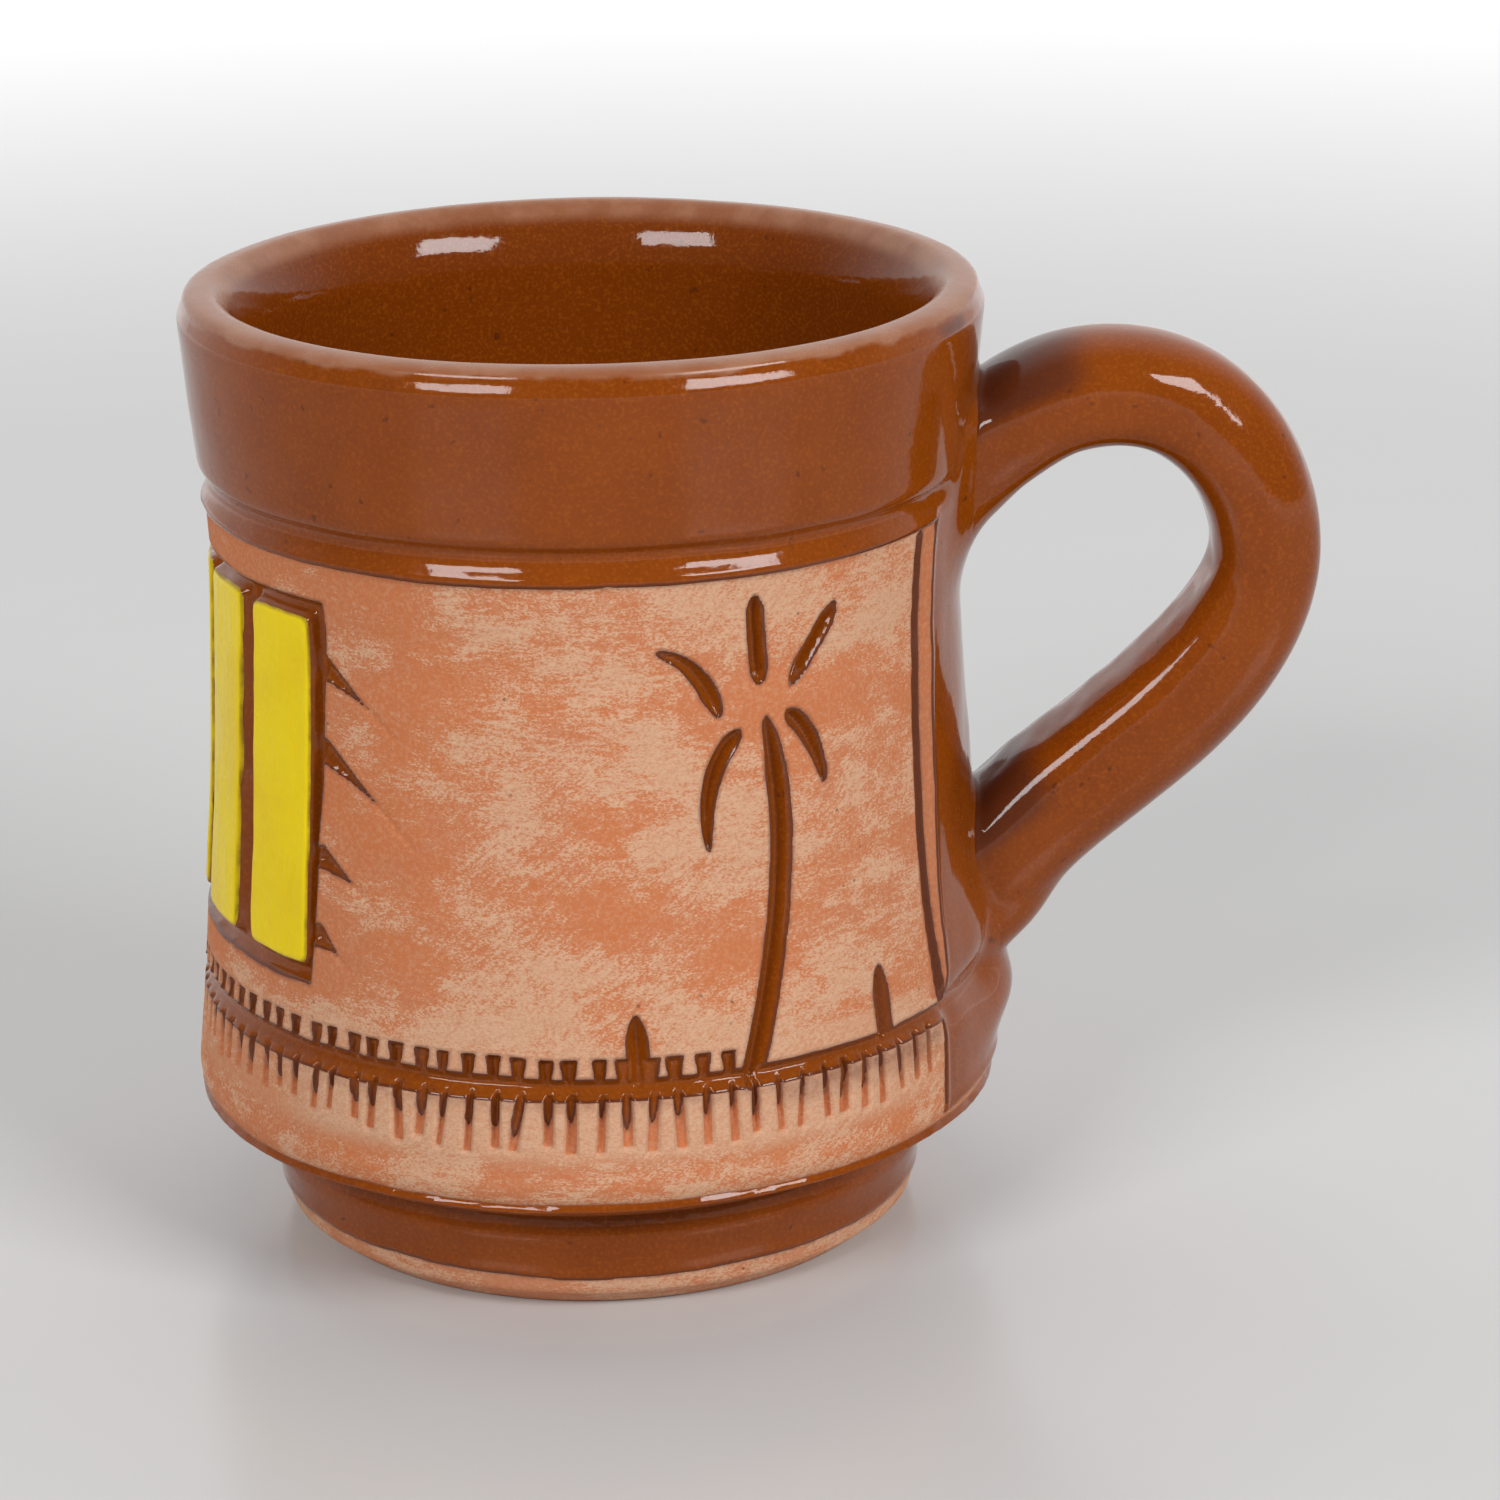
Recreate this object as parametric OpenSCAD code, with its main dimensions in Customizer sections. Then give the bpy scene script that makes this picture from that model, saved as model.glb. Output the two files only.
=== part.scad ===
// Hand-thrown clay mug with a pulled ear handle.
// The pot is one thrown clay body, a clay strap luted on with two soft clay wads,
// and the separate deposits of amber glaze and yellow enamel that lie on them.
// Millimetres, +Z up, origin at the centre of the flat underside, handle toward +X.

/* [Thrown body] */
// Height of the lip above the table
mug_h = 100; // [94:1:108]
// Radius of the rim band just under the lip
lip_r = 41; // [40:0.25:43]
// Half the thickness of the rounded lip
lip_round = 3.15; // [2.6:0.05:3.6]
// How far the waist, the narrowest line of the wall, lies inside the lip
waist_in = 2.45; // [1.5:0.05:3.5]
// How far the waist lies below the edge of the rim band
waist_drop = 6.4; // [4:0.2:12]
// Radius of the belly, the widest line of the wall
belly_r = 42.15; // [41:0.05:44]
// Height of the belly line
belly_z = 17.5; // [16.5:0.25:20]
// How quickly the wall draws in above the belly
draw_in = 1.5; // [1.2:0.05:1.8]
// Thickness of the wall
wall_t = 5.2; // [4:0.1:6]
// Thickness of the floor
floor_t = 8; // [6:0.5:10]
// Least clay kept between the foot's crease and the bend of the inside
corner_t = 3.4; // [2.5:0.1:5]

/* [Foot] */
// Radius of the flat underside
base_r = 30.5; // [28:0.25:32]
// Height of the bare clay edge at the bottom of the foot
bare_edge_h = 2.2; // [1.5:0.1:3]
// How far the bare edge leans out
bare_edge_w = 2.9; // [2:0.1:3.5]
// How far the bare edge swells out of straight
bare_edge_bow = 0.15; // [0:0.05:0.5]
// How far the turned ridge round the foot stands out of the bare edge
ridge_out = 1.6; // [0.8:0.1:3]
// How far the turned ridge lies below the crease
ridge_drop = 3; // [2:0.1:5]
// How far the crease, where the foot meets the belly, lies inside the belly line
crease_in = 7.95; // [7:0.05:9.5]
// How far the crease lies below the belly line
crease_drop = 5.5; // [4.5:0.1:7]

/* [Rim band] */
// Height of the glazed rim band, from its lower edge to the lip
band_h = 21.6; // [20:0.2:24]
// How far the collar at that edge stands out of the waist
collar_out = 0.35; // [0:0.05:1]
// How far the cut groove lies above that edge
groove_up = 2.1; // [1.6:0.1:3]
// Depth of the groove below the collar
groove_in = 0.5; // [0.1:0.05:1]
// How far the raised flange starts above that edge
flange_up = 4.6; // [3.6:0.1:6]
// How far the flange stands out of the collar at its start
flange_out = 0.7; // [0.3:0.05:1.5]

/* [Ground ring] */
// How far the middle of the carved ring's channel lies above the belly line
ring_up = 10.7; // [9:0.1:13]
// Width of the channel
ring_h = 3.7; // [3:0.1:5]
// Depth of the channel
ring_d = 1.3; // [0.9:0.05:1.6]
// Draft of the channel's two sides
ring_draft = 0.5; // [0.2:0.05:0.8]

/* [Glaze and enamel] */
// Thickness of the glaze coats
coat_t = 0.4; // [0.3:0.05:0.6]
// Depth of the carved lines of the picture
carve_d = 1.2; // [0.9:0.05:1.6]
// Thickness of the glaze pooled in carved lines
pool_t = 0.5; // [0.3:0.05:0.8]
// Thickness of the yellow enamel
enamel_t = 0.35; // [0.25:0.05:0.5]

/* [Palm] */
// Direction of the palm, degrees round from the front toward the handle
palm_az = 25.8; // [15:0.1:35]
// How far the crown, where the fronds meet, lies below the rim band
palm_drop = 13.2; // [12:0.1:18]
// Reach of a frond from the crown
frond_l = 12; // [9:0.1:13]
// How far the trunk ends below the crown
trunk_gap = 1.9; // [1:0.1:3]
// How far the foot of the trunk lies to the left of the crown
trunk_lean = 3.1; // [0:0.1:6]
// How far the trunk bows to the right
trunk_bow = 2.9; // [0:0.1:5]
// Width of the trunk
trunk_w = 2.7; // [2:0.1:3.5]
// Width of a frond
frond_w = 2.2; // [1.5:0.1:3]
// Length of the two grass blades
blade_h = 9; // [6:0.1:11]
// Width of a grass blade
blade_w = 1.9; // [1.2:0.1:2.5]

/* [Tile frieze] */
// Number of upright yellow tiles
tile_count = 5; // [3:1:6]
// Width of the frieze round the wall, degrees
frieze_a = 90; // [70:1:95]
// Gap between two tiles, degrees
tile_gap_a = 4.5; // [3:0.25:6]
// Width of the sunk border round the frieze, degrees
border_a = 2.6; // [2:0.1:4]
// How far the tiles' lower ends lie above the ring
tile_up = 8.6; // [6:0.1:12]
// How far the tiles' upper ends lie below the rim band
tile_drop = 6.4; // [5:0.1:12]
// Height of the sunk border above and below the tiles
border_h = 2.2; // [1.5:0.1:3]
// Number of hatch ticks beside the frieze
tick_count = 4; // [2:1:6]
// Length of a hatch tick
tick_l = 8.5; // [5:0.1:11]
// Width of a hatch tick at its root
tick_w = 1.3; // [0.8:0.1:2]
// Slope of the ticks, degrees below level
tick_slope = 27; // [10:1:45]

/* [Handle] */
// Width of the strap
strap_w = 15; // [12:0.25:18]
// Thickness of the strap round the bend
strap_t = 11.8; // [10:0.1:13]
// Extra thickness of the strap in its lower arm
strap_fat = 1.6; // [0:0.1:2.5]
// Swelling of the strap at its two roots
root_flare = 3; // [1:0.1:4]
// How far the strap's middle line reaches out past the lip
strap_out = 29.6; // [25:0.2:34]
// How far the strap's farthest point lies below its upper root
reach_drop = 12; // [9:0.2:16]
// How far above the rim band's edge the strap's middle line leaves the wall
root_top_up = 3.6; // [2:0.2:6]
// Angle at which it rises there, degrees
root_top_a = 34; // [25:1:40]
// Pull of the curve along that rise
top_run = 24; // [18:0.2:28]
// Pull of the curve straight down from its farthest point
drop_run = 12; // [8:0.2:15]
// How far above the ring the middle line meets the wall at the bottom
root_low_up = 9.2; // [7:0.2:12]
// Angle at which it comes down there, degrees
root_low_a = 35.5; // [28:1:42]
// Pull of the curve along that last stretch
low_run = 14; // [10:0.2:18]
// Half-width of the glazed wall behind the strap, degrees
panel_a = 29.2; // [26:0.2:34]
// How far above the belly line that glaze ends
panel_rise = 1; // [0.5:0.1:3]
// Width of the ridge left along that glazed wall, degrees
strip_a = 1.9; // [1.4:0.1:4]
// Width of the carved line outside that ridge, degrees
line_a = 2; // [1:0.1:2.5]
// How far below the rim band's edge the carved line ends
line_top = 1.3; // [0.8:0.1:3]
// Radius of the clay wad pressed under the upper root
top_wad_r = 14; // [12:0.1:16]
// How far the middle of that wad lies below the rim band's edge
top_wad_drop = 1.4; // [0.6:0.1:3]
// Radius of the clay wad thumbed under the lower root
low_wad_r = 18; // [15:0.1:20]
// How far the lower wad stands out of the wall
low_wad_out = 3.4; // [1.5:0.1:4]
// How far the upper wad stands out of the wall
top_wad_out = 3.5; // [2:0.1:5]

/* [Hidden] */
$fn = 180;

// Colours as fired
CLAY = [0.80, 0.50, 0.36];
GLAZE = [0.42, 0.21, 0.09];
DEEP_GLAZE = [0.33, 0.15, 0.07];
YELLOW = [0.93, 0.68, 0.16];

// Directions round the wall: 0 is the front (-Y), 90 the handle (+X), -90 the far side from it
FRONT = -90;
HANDLE_AZ = 90;
FRIEZE_AZ = -90;

// Grass blades, directions round the wall
BLADE_AZ = [5.3, 44.4];
// Fronds: direction and reach of the tip, then of the root, and bow, with lengths as shares of frond_l
FRONDS = [
    [95, 0.90, 98, 0.18, 0.02],
    [44, 1.00, 26, 0.30, -0.03],
    [152, 1.03, 187, 0.40, -0.10],
    [245, 1.26, 229, 0.34, -0.12],
    [-52, 0.93, -30, 0.25, 0.08]
];

// Sections and stations along curves
ARC_STEPS = 8;
WALL_STEPS = 9;
STROKE_STEPS = 10;
STRAP_RINGS = 18;
STRAP_SIDES = 24;

// Lines of the pot, from the table up
crease_z = belly_z - crease_drop;
ridge_z = crease_z - ridge_drop;
ring_z = belly_z + ring_up;
ring_low = ring_z - ring_h / 2;
ring_top = ring_z + ring_h / 2;
band_z = mug_h - band_h;
waist_z = band_z - waist_drop;
groove_z = band_z + groove_up;
flange_z = band_z + flange_up;
crease_r = belly_r - crease_in;
ridge_r = base_r + bare_edge_w + ridge_out;
waist_r = lip_r - waist_in;
collar_r = waist_r + collar_out;
groove_r = collar_r - groove_in;
flange_r = collar_r + flange_out;
widest_r = max(lip_r, belly_r);

// Bend between wall and floor inside, the circle that keeps corner_t clear of the crease
bend_wall = corner_t + crease_in - wall_t;
bend_floor = corner_t + crease_z - floor_t;
inner_round = bend_wall + bend_floor - corner_t + sqrt(2 * bend_wall * bend_floor);
inner_z = floor_t + inner_round;

// Lines of the picture, the frieze and the handle
palm_z = band_z - palm_drop;
tile_z0 = ring_z + tile_up;
tile_z1 = band_z - tile_drop;
reach = lip_r + strap_out;
root_top_z = band_z + root_top_up;
reach_z = root_top_z - reach_drop;
root_low_z = ring_z + root_low_up;
lip_mid_r = lip_r - lip_round;
lip_mid_z = mug_h - lip_round;
skin = 1;
picture_z1 = band_z - coat_t;
panel_z0 = belly_z + panel_rise;
line_z1 = band_z - line_top;

// Quarter of an ellipse from angle a0 to a1, semi-axes rr and rz, about the point [r, z]
function arc(r, z, rr, rz, a0, a1, steps = ARC_STEPS) =
    [for (i = [0:steps]) let (a = a0 + (a1 - a0) * i / steps) [r + rr * cos(a), z + rz * sin(a)]];

// Line from p to q, bowed by b to its right
function bowed(p, q, b, steps) =
    let (along = (q - p) / norm(q - p), across = [along[1], -along[0]])
    [for (i = [0:steps]) let (t = i / steps) p + (q - p) * t + 4 * b * t * (1 - t) * across];

// Finished radius of the wall between belly and collar
function wall_r(z) =
    z < waist_z
        ? waist_r + (belly_r - waist_r) * pow((waist_z - z) / (waist_z - belly_z), draw_in)
        : waist_r + (collar_r - waist_r) * (z - waist_z) / (band_z - waist_z);

// Wall outline between two heights, sunk by t
function wall_line(z0, z1, t = 0, steps = WALL_STEPS) =
    [for (i = [0:steps]) let (z = z0 + (z1 - z0) * i / steps) [wall_r(z) - t, z]];

// Outline of the pieces of the finished pot, each sunk by t under its surface
function bare_edge_line() =
    bowed([base_r, 0], [base_r + bare_edge_w, bare_edge_h], bare_edge_bow, 4);
function foot_line(t) =
    [[base_r + bare_edge_w - t, bare_edge_h], [ridge_r - t, ridge_z], [crease_r - t, crease_z]];
function belly_line() =
    arc(crease_r, belly_z, belly_r - crease_r, belly_z - crease_z, -90, 0);
function ring_line(t) =
    [[wall_r(ring_low) - t, ring_low + ring_draft * t / ring_d],
     [wall_r(ring_top) - t, ring_top - ring_draft * t / ring_d]];
function band_line(t) =
    concat(
        [[wall_r(band_z - coat_t + t) - t, band_z - coat_t + t], [groove_r - t, groove_z], [flange_r - t, flange_z]],
        arc(lip_mid_r, lip_mid_z, lip_round - t, lip_round - t, 0, 90)
    );
function bowl_line(t) =
    concat(
        arc(lip_mid_r, lip_mid_z, lip_round - t, lip_round - t, 90, 180),
        [for (p = wall_line(waist_z, inner_z, wall_t - t)) p],
        arc(wall_r(inner_z) - wall_t - inner_round, inner_z, inner_round + t, inner_round + t, 0, -90),
        [[0, floor_t - t]]
    );
function reversed(list) = [for (i = [len(list) - 1:-1:0]) list[i]];

// Point, tangent and section of the strap along its middle line, s from 0 to 1
function bezier(p, t) =
    pow(1 - t, 3) * p[0] + 3 * pow(1 - t, 2) * t * p[1] + 3 * (1 - t) * t * t * p[2] + pow(t, 3) * p[3];
root_top_r = waist_r;
root_low_r = wall_r(root_low_z);
upper_arm = [
    [root_top_r, root_top_z],
    [root_top_r, root_top_z] + top_run * [cos(root_top_a), sin(root_top_a)],
    [reach, root_top_z],
    [reach, reach_z]
];
lower_arm = [
    [reach, reach_z],
    [reach, reach_z - drop_run],
    [root_low_r, root_low_z] + low_run * [cos(root_low_a), sin(root_low_a)],
    [root_low_r, root_low_z]
];
function strap_at(s) = s < 0.5 ? bezier(upper_arm, 2 * s) : bezier(lower_arm, 2 * s - 1);
function strap_dir(s) =
    let (d = strap_at(min(s + 0.01, 1)) - strap_at(max(s - 0.01, 0))) d / norm(d);
function smooth(t) = let (c = min(max(t, 0), 1)) c * c * (3 - 2 * c);
function flare(s) = root_flare * (pow(1 - smooth(s / 0.16), 2) + pow(1 - smooth((1 - s) / 0.16), 2));
function strap_thick(s) = strap_t + strap_fat * smooth((s - 0.5) / 0.25) + flare(s);
function strap_wide(s) = strap_w + flare(s);

// Rounded oval, slightly squared, as a unit section
function oval(i, n) =
    let (a = 360 * i / n, e = 0.86)
    [sign(cos(a)) * pow(abs(cos(a)), e), sign(sin(a)) * pow(abs(sin(a)), e)];
function strap_ring(p, d, thick, wide) =
    [for (i = [0:STRAP_SIDES - 1])
        let (o = oval(i, STRAP_SIDES))
        [p[0] - d[1] * o[0] * thick / 2, o[1] * wide / 2, p[1] + d[0] * o[0] * thick / 2]];

// Solid between closed rings of n points
module loft(rings, n) {
    last = len(rings) - 1;
    points = [for (r = rings) each r];
    sides = [
        for (k = [0:last - 1]) for (i = [0:n - 1])
            let (a = k * n + i, b = k * n + (i + 1) % n)
            each [[a, b, b + n], [a, b + n, a + n]]
    ];
    caps = [
        for (i = [1:n - 2]) each [[0, i + 1, i], [last * n, last * n + i, last * n + i + 1]]
    ];
    polyhedron(points, concat(sides, caps));
}

// Strap as pulled, its two ends running on into the wall
module strap_blank() {
    into = wall_t - 1;
    start = strap_at(0) - into * strap_dir(0);
    finish = strap_at(1) + into * strap_dir(1);
    loft(
        concat(
            [strap_ring(start, strap_dir(0), strap_thick(0), strap_wide(0))],
            [for (k = [0:2 * STRAP_RINGS])
                let (s = k / (2 * STRAP_RINGS))
                strap_ring(strap_at(s), strap_dir(s), strap_thick(s), strap_wide(s))],
            [strap_ring(finish, strap_dir(1), strap_thick(1), strap_wide(1))]
        ),
        STRAP_SIDES
    );
}

// Wads as pressed, two balls of clay sunk in the wall
module upper_wad_blank() {
    z = band_z - top_wad_drop;
    translate([wall_r(z) + top_wad_out - top_wad_r, 0, z]) sphere(top_wad_r);
}
module lower_wad_blank() {
    z = ring_low;
    intersection() {
        translate([wall_r(z) + low_wad_out - low_wad_r, 0, z]) sphere(low_wad_r);
        translate([0, 0, panel_z0]) cylinder(r = reach, h = mug_h - panel_z0);
    }
}
module root_clay() {
    strap_blank();
    upper_wad_blank();
    lower_wad_blank();
}

// Turned solid of a half outline
module turned(points) {
    rotate_extrude() polygon(points);
}
// Turned sector from direction az, a degrees wide
module sector(az, a, points) {
    rotate([0, 0, az + FRONT]) rotate_extrude(angle = a) polygon(points);
}
// Prism pointing out of the axis in direction az at height z, outline in the plane of the wall
module facing(az, z) {
    rotate([0, 0, az + FRONT]) translate([0, 0, z]) rotate([90, 0, 90]) linear_extrude(widest_r + skin) children();
}

// Skin of the wall from depth t0 to depth t1, between two heights
function skin_line(t0, t1, z0, z1) =
    concat(wall_line(z0, z1, t1), reversed(wall_line(z0, z1, t0)));

// Skin of the glaze pooled in the carved picture
function pool_line() = skin_line(carve_d, carve_d - pool_t, ring_top, picture_z1);

// Carved stroke from p to q, bowed by b to its right, w0 wide at p and w1 at q
module stroke(p, q, b, w0, w1) {
    along = (q - p) / norm(q - p);
    across = [along[1], -along[0]];
    middle = bowed(p, q, b, STROKE_STEPS);
    half = [for (i = [0:STROKE_STEPS])
        let (t = i / STROKE_STEPS, round_end = pow(1 - pow(abs(2 * t - 1), 6), 0.5))
        max(0.12, round_end) * (w0 + (w1 - w0) * t) / 2];
    polygon(concat(
        [for (i = [0:STROKE_STEPS]) middle[i] + half[i] * across],
        [for (i = [STROKE_STEPS:-1:0]) middle[i] - half[i] * across]
    ));
}

// Outlines of the picture, in the plane facing the palm's crown
module trunk_outline() {
    stroke([0, -trunk_gap], [-trunk_lean, ring_z - palm_z], -trunk_bow, trunk_w * 0.9, trunk_w * 1.1);
}
module frond_outlines() {
    for (f = FRONDS) {
        tip = frond_l * f[1] * [cos(f[0]), sin(f[0])];
        root = frond_l * f[3] * [cos(f[2]), sin(f[2])];
        stroke(tip, root, frond_l * f[4], frond_w * 0.75, frond_w);
    }
}
module blade_outline() {
    stroke([0, blade_h], [0.03 * blade_h, 0], 0.02 * blade_h, blade_w * 0.7, blade_w);
}
module tick_outline() {
    stroke([0, 0], tick_l * [cos(tick_slope), -sin(tick_slope)], -0.05 * tick_l, tick_w, tick_w * 0.4);
}

module trunk_prism() {
    facing(palm_az, palm_z) trunk_outline();
}
module frond_prisms() {
    facing(palm_az, palm_z) frond_outlines();
}
module blade_prisms() {
    for (az = BLADE_AZ) facing(az, ring_z) blade_outline();
}
tick_pitch = (tile_z1 - tile_z0) / (tick_count - 0.5);
module tick_prisms() {
    az = FRIEZE_AZ + frieze_a / 2 + border_a + 1;
    for (i = [0:tick_count - 1]) facing(az, tile_z1 - tick_pitch * (i + 0.2)) tick_outline();
}

// Fields of the wall bounded by heights and directions, from depth t0 to depth t1
module frieze_field(t0, t1) {
    a = frieze_a + 2 * border_a;
    line = skin_line(t0, t1, tile_z0 - border_h, tile_z1 + border_h);
    sector(FRIEZE_AZ - a / 2, a, line);
}
tile_a = (frieze_a - (tile_count - 1) * tile_gap_a) / tile_count;
module tile_fields(t0, t1) {
    line = skin_line(t0, t1, tile_z0, tile_z1);
    for (i = [0:tile_count - 1])
        sector(FRIEZE_AZ - frieze_a / 2 + i * (tile_a + tile_gap_a), tile_a, line);
}
module panel_field(out) {
    inner = wall_line(panel_z0, band_z, coat_t);
    outer = wall_line(panel_z0, band_z - coat_t, -out);
    sector(HANDLE_AZ - panel_a, 2 * panel_a, concat(outer, reversed(inner)));
}
module frame_line_fields(t0, t1, z0) {
    a = panel_a + strip_a + line_a;
    line = skin_line(t0, t1, z0, line_z1);
    for (az = [HANDLE_AZ - a, HANDLE_AZ + a - line_a]) sector(az, line_a, line);
}

// Clay
module clay_turning() {
    turned(concat(
        [[0, 0]],
        bare_edge_line(),
        foot_line(coat_t),
        belly_line(),
        wall_line(belly_z, ring_low, 0, 3),
        ring_line(ring_d),
        wall_line(ring_top, band_z - coat_t),
        band_line(coat_t),
        bowl_line(coat_t)
    ));
}
module thrown_body() {
    color(CLAY) difference() {
        clay_turning();
        panel_field(skin);
        frame_line_fields(carve_d, -skin, ring_z);
        difference() {
            frieze_field(carve_d, -skin);
            tile_fields(carve_d + skin, -2 * skin);
        }
        tile_fields(enamel_t, -skin);
        intersection() {
            turned(skin_line(carve_d, -skin, ring_z, picture_z1));
            union() {
                trunk_prism();
                frond_prisms();
                blade_prisms();
                tick_prisms();
            }
        }
    }
}
// Everything inside the pot's outer face, for seating what is luted on
module pot_blank() {
    turned(concat(
        [[0, 0]],
        bare_edge_line(),
        foot_line(coat_t),
        belly_line(),
        wall_line(belly_z, ring_low, coat_t, 3),
        ring_line(ring_d),
        wall_line(ring_top, band_z, coat_t),
        band_line(coat_t),
        [[0, mug_h - coat_t]]
    ));
}
module handle_strap() {
    color(GLAZE) difference() {
        strap_blank();
        pot_blank();
    }
}
module upper_clay_wad() {
    color(GLAZE) difference() {
        upper_wad_blank();
        pot_blank();
        strap_blank();
    }
}
module lower_clay_wad() {
    color(GLAZE) difference() {
        lower_wad_blank();
        pot_blank();
        strap_blank();
    }
}

// Glaze coats
module liner_glaze() {
    color(DEEP_GLAZE) turned(concat(bowl_line(0), reversed(bowl_line(coat_t))));
}
module rim_band_glaze() {
    color(GLAZE) difference() {
        turned(concat(band_line(0), reversed(band_line(coat_t))));
        root_clay();
    }
}
module foot_band_glaze() {
    color(GLAZE) turned(concat(foot_line(0), reversed(foot_line(coat_t))));
}
module handle_panel_glaze() {
    color(GLAZE) difference() {
        panel_field(0);
        turned(concat(ring_line(ring_d), reversed(ring_line(-skin))));
        root_clay();
    }
}

// Glaze pooled in carved lines
module ground_ring_glaze() {
    color(DEEP_GLAZE) difference() {
        turned(concat(ring_line(ring_d), reversed(ring_line(ring_d - pool_t))));
        root_clay();
    }
}
module palm_trunk_glaze() {
    color(DEEP_GLAZE) intersection() {
        turned(pool_line());
        trunk_prism();
    }
}
module palm_frond_glaze() {
    color(DEEP_GLAZE) intersection() {
        turned(pool_line());
        frond_prisms();
    }
}
module grass_glaze() {
    color(DEEP_GLAZE) intersection() {
        turned(pool_line());
        blade_prisms();
    }
}
module hatch_tick_glaze() {
    color(DEEP_GLAZE) intersection() {
        turned(pool_line());
        tick_prisms();
    }
}
module frame_line_glaze() {
    color(DEEP_GLAZE) frame_line_fields(carve_d, carve_d - pool_t, ring_top);
}
module frieze_border_glaze() {
    color(DEEP_GLAZE) difference() {
        frieze_field(carve_d, carve_d - pool_t);
        tile_fields(carve_d + skin, -skin);
    }
}

// Yellow enamel brushed on the tiles left standing in the frieze
module yellow_tile_enamel() {
    color(YELLOW) tile_fields(enamel_t, 0);
}

thrown_body();
handle_strap();
upper_clay_wad();
lower_clay_wad();
liner_glaze();
rim_band_glaze();
foot_band_glaze();
handle_panel_glaze();
ground_ring_glaze();
palm_trunk_glaze();
palm_frond_glaze();
grass_glaze();
frame_line_glaze();
frieze_border_glaze();
hatch_tick_glaze();
yellow_tile_enamel();
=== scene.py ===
"""Dress of a hand-thrown clay mug: carved bare wall, amber glaze coats, yellow tiles and an ear handle.

The wall is one height field over the direction round the pot and the distance along its turned outline.
Carving lowers the clay. Each coat of glaze or enamel is a thin closed skin laid over the clay, cut out by the
distance to its edge. Sizes are in mm and directions in degrees, with 0 at the front and 90 at the handle.
"""
import logging
import math
from abc import ABC
from dataclasses import dataclass, field
from enum import Enum
from typing import Callable, ClassVar, Sequence

import bpy
import numpy as np
from mathutils import Matrix, Vector
from mathutils.bvhtree import BVHTree


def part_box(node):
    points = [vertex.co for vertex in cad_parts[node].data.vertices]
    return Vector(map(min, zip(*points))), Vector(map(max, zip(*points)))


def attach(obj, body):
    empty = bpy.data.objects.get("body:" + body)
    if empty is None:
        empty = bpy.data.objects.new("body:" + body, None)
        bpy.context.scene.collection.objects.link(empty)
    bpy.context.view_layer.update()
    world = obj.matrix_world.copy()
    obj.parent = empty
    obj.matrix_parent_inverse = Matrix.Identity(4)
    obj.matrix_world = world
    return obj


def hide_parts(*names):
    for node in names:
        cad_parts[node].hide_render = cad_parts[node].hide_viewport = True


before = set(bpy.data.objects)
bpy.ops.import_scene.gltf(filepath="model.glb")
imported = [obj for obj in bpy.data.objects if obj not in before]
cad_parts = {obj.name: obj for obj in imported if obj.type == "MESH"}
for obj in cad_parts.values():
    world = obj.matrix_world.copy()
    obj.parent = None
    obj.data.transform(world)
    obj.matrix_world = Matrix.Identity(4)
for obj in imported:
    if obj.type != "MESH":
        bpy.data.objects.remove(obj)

LOG = logging.getLogger("mug")
MM = 0.001
ROOT = "root"
HANDLE_AZ = 90.0
FAR_OUT = -50.0
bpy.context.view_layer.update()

Array = np.ndarray
Point = tuple[float, float]
Places = tuple[Point, ...]
Colour = tuple[float, float, float]
Socket = bpy.types.NodeSocket


def smooth(start: float, end: float, value: Array) -> Array:
    """Smooth step of a value from 0 at start to 1 at end, which may lie either way round."""
    t = np.clip((value - start) / (end - start), 0.0, 1.0)
    return t * t * (3.0 - 2.0 * t)


def bell(value: Array, width: float) -> Array:
    """Bell curve of height 1 and the given half-width."""
    return np.exp(-(value / width) ** 2)


def turned_to(azimuth: Array, middle: float) -> Array:
    """Azimuths in degrees measured from a middle one, between -180 and 180."""
    return (azimuth - middle + 180.0) % 360.0 - 180.0


def span(rise: Point, fall: Point, value: Array) -> Array:
    """Mask that rises between two values and falls between two others."""
    return smooth(*rise, value) * smooth(*fall, value)


def squarer(value: Array, power: float | Array) -> Array:
    """Value raised to a power with its sign kept, which squares off a round outline below 1."""
    return np.sign(value) * np.abs(value) ** power


def travel(line: Array) -> Array:
    """Distance travelled along a line at each of its points."""
    return np.concatenate([[0.0], np.cumsum(np.hypot(*np.diff(line, axis=0).T))])


def heading(angle: float) -> Array:
    """Unit step outward at an angle over level."""
    return np.array([math.cos(math.radians(angle)), math.sin(math.radians(angle))])


def cubic(p: Sequence[Array], t: Array) -> Array:
    """Points of a cubic curve with four control points."""
    t = t[:, None]
    return (1 - t) ** 3 * p[0] + 3 * (1 - t) ** 2 * t * p[1] + 3 * (1 - t) * t * t * p[2] + t**3 * p[3]


def sampled(where: Array, along: Array, line: Array) -> Array:
    """Points of a line at the given distances along it."""
    return np.stack([np.interp(where, along, line[:, k]) for k in (0, 1)], axis=1)


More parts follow.
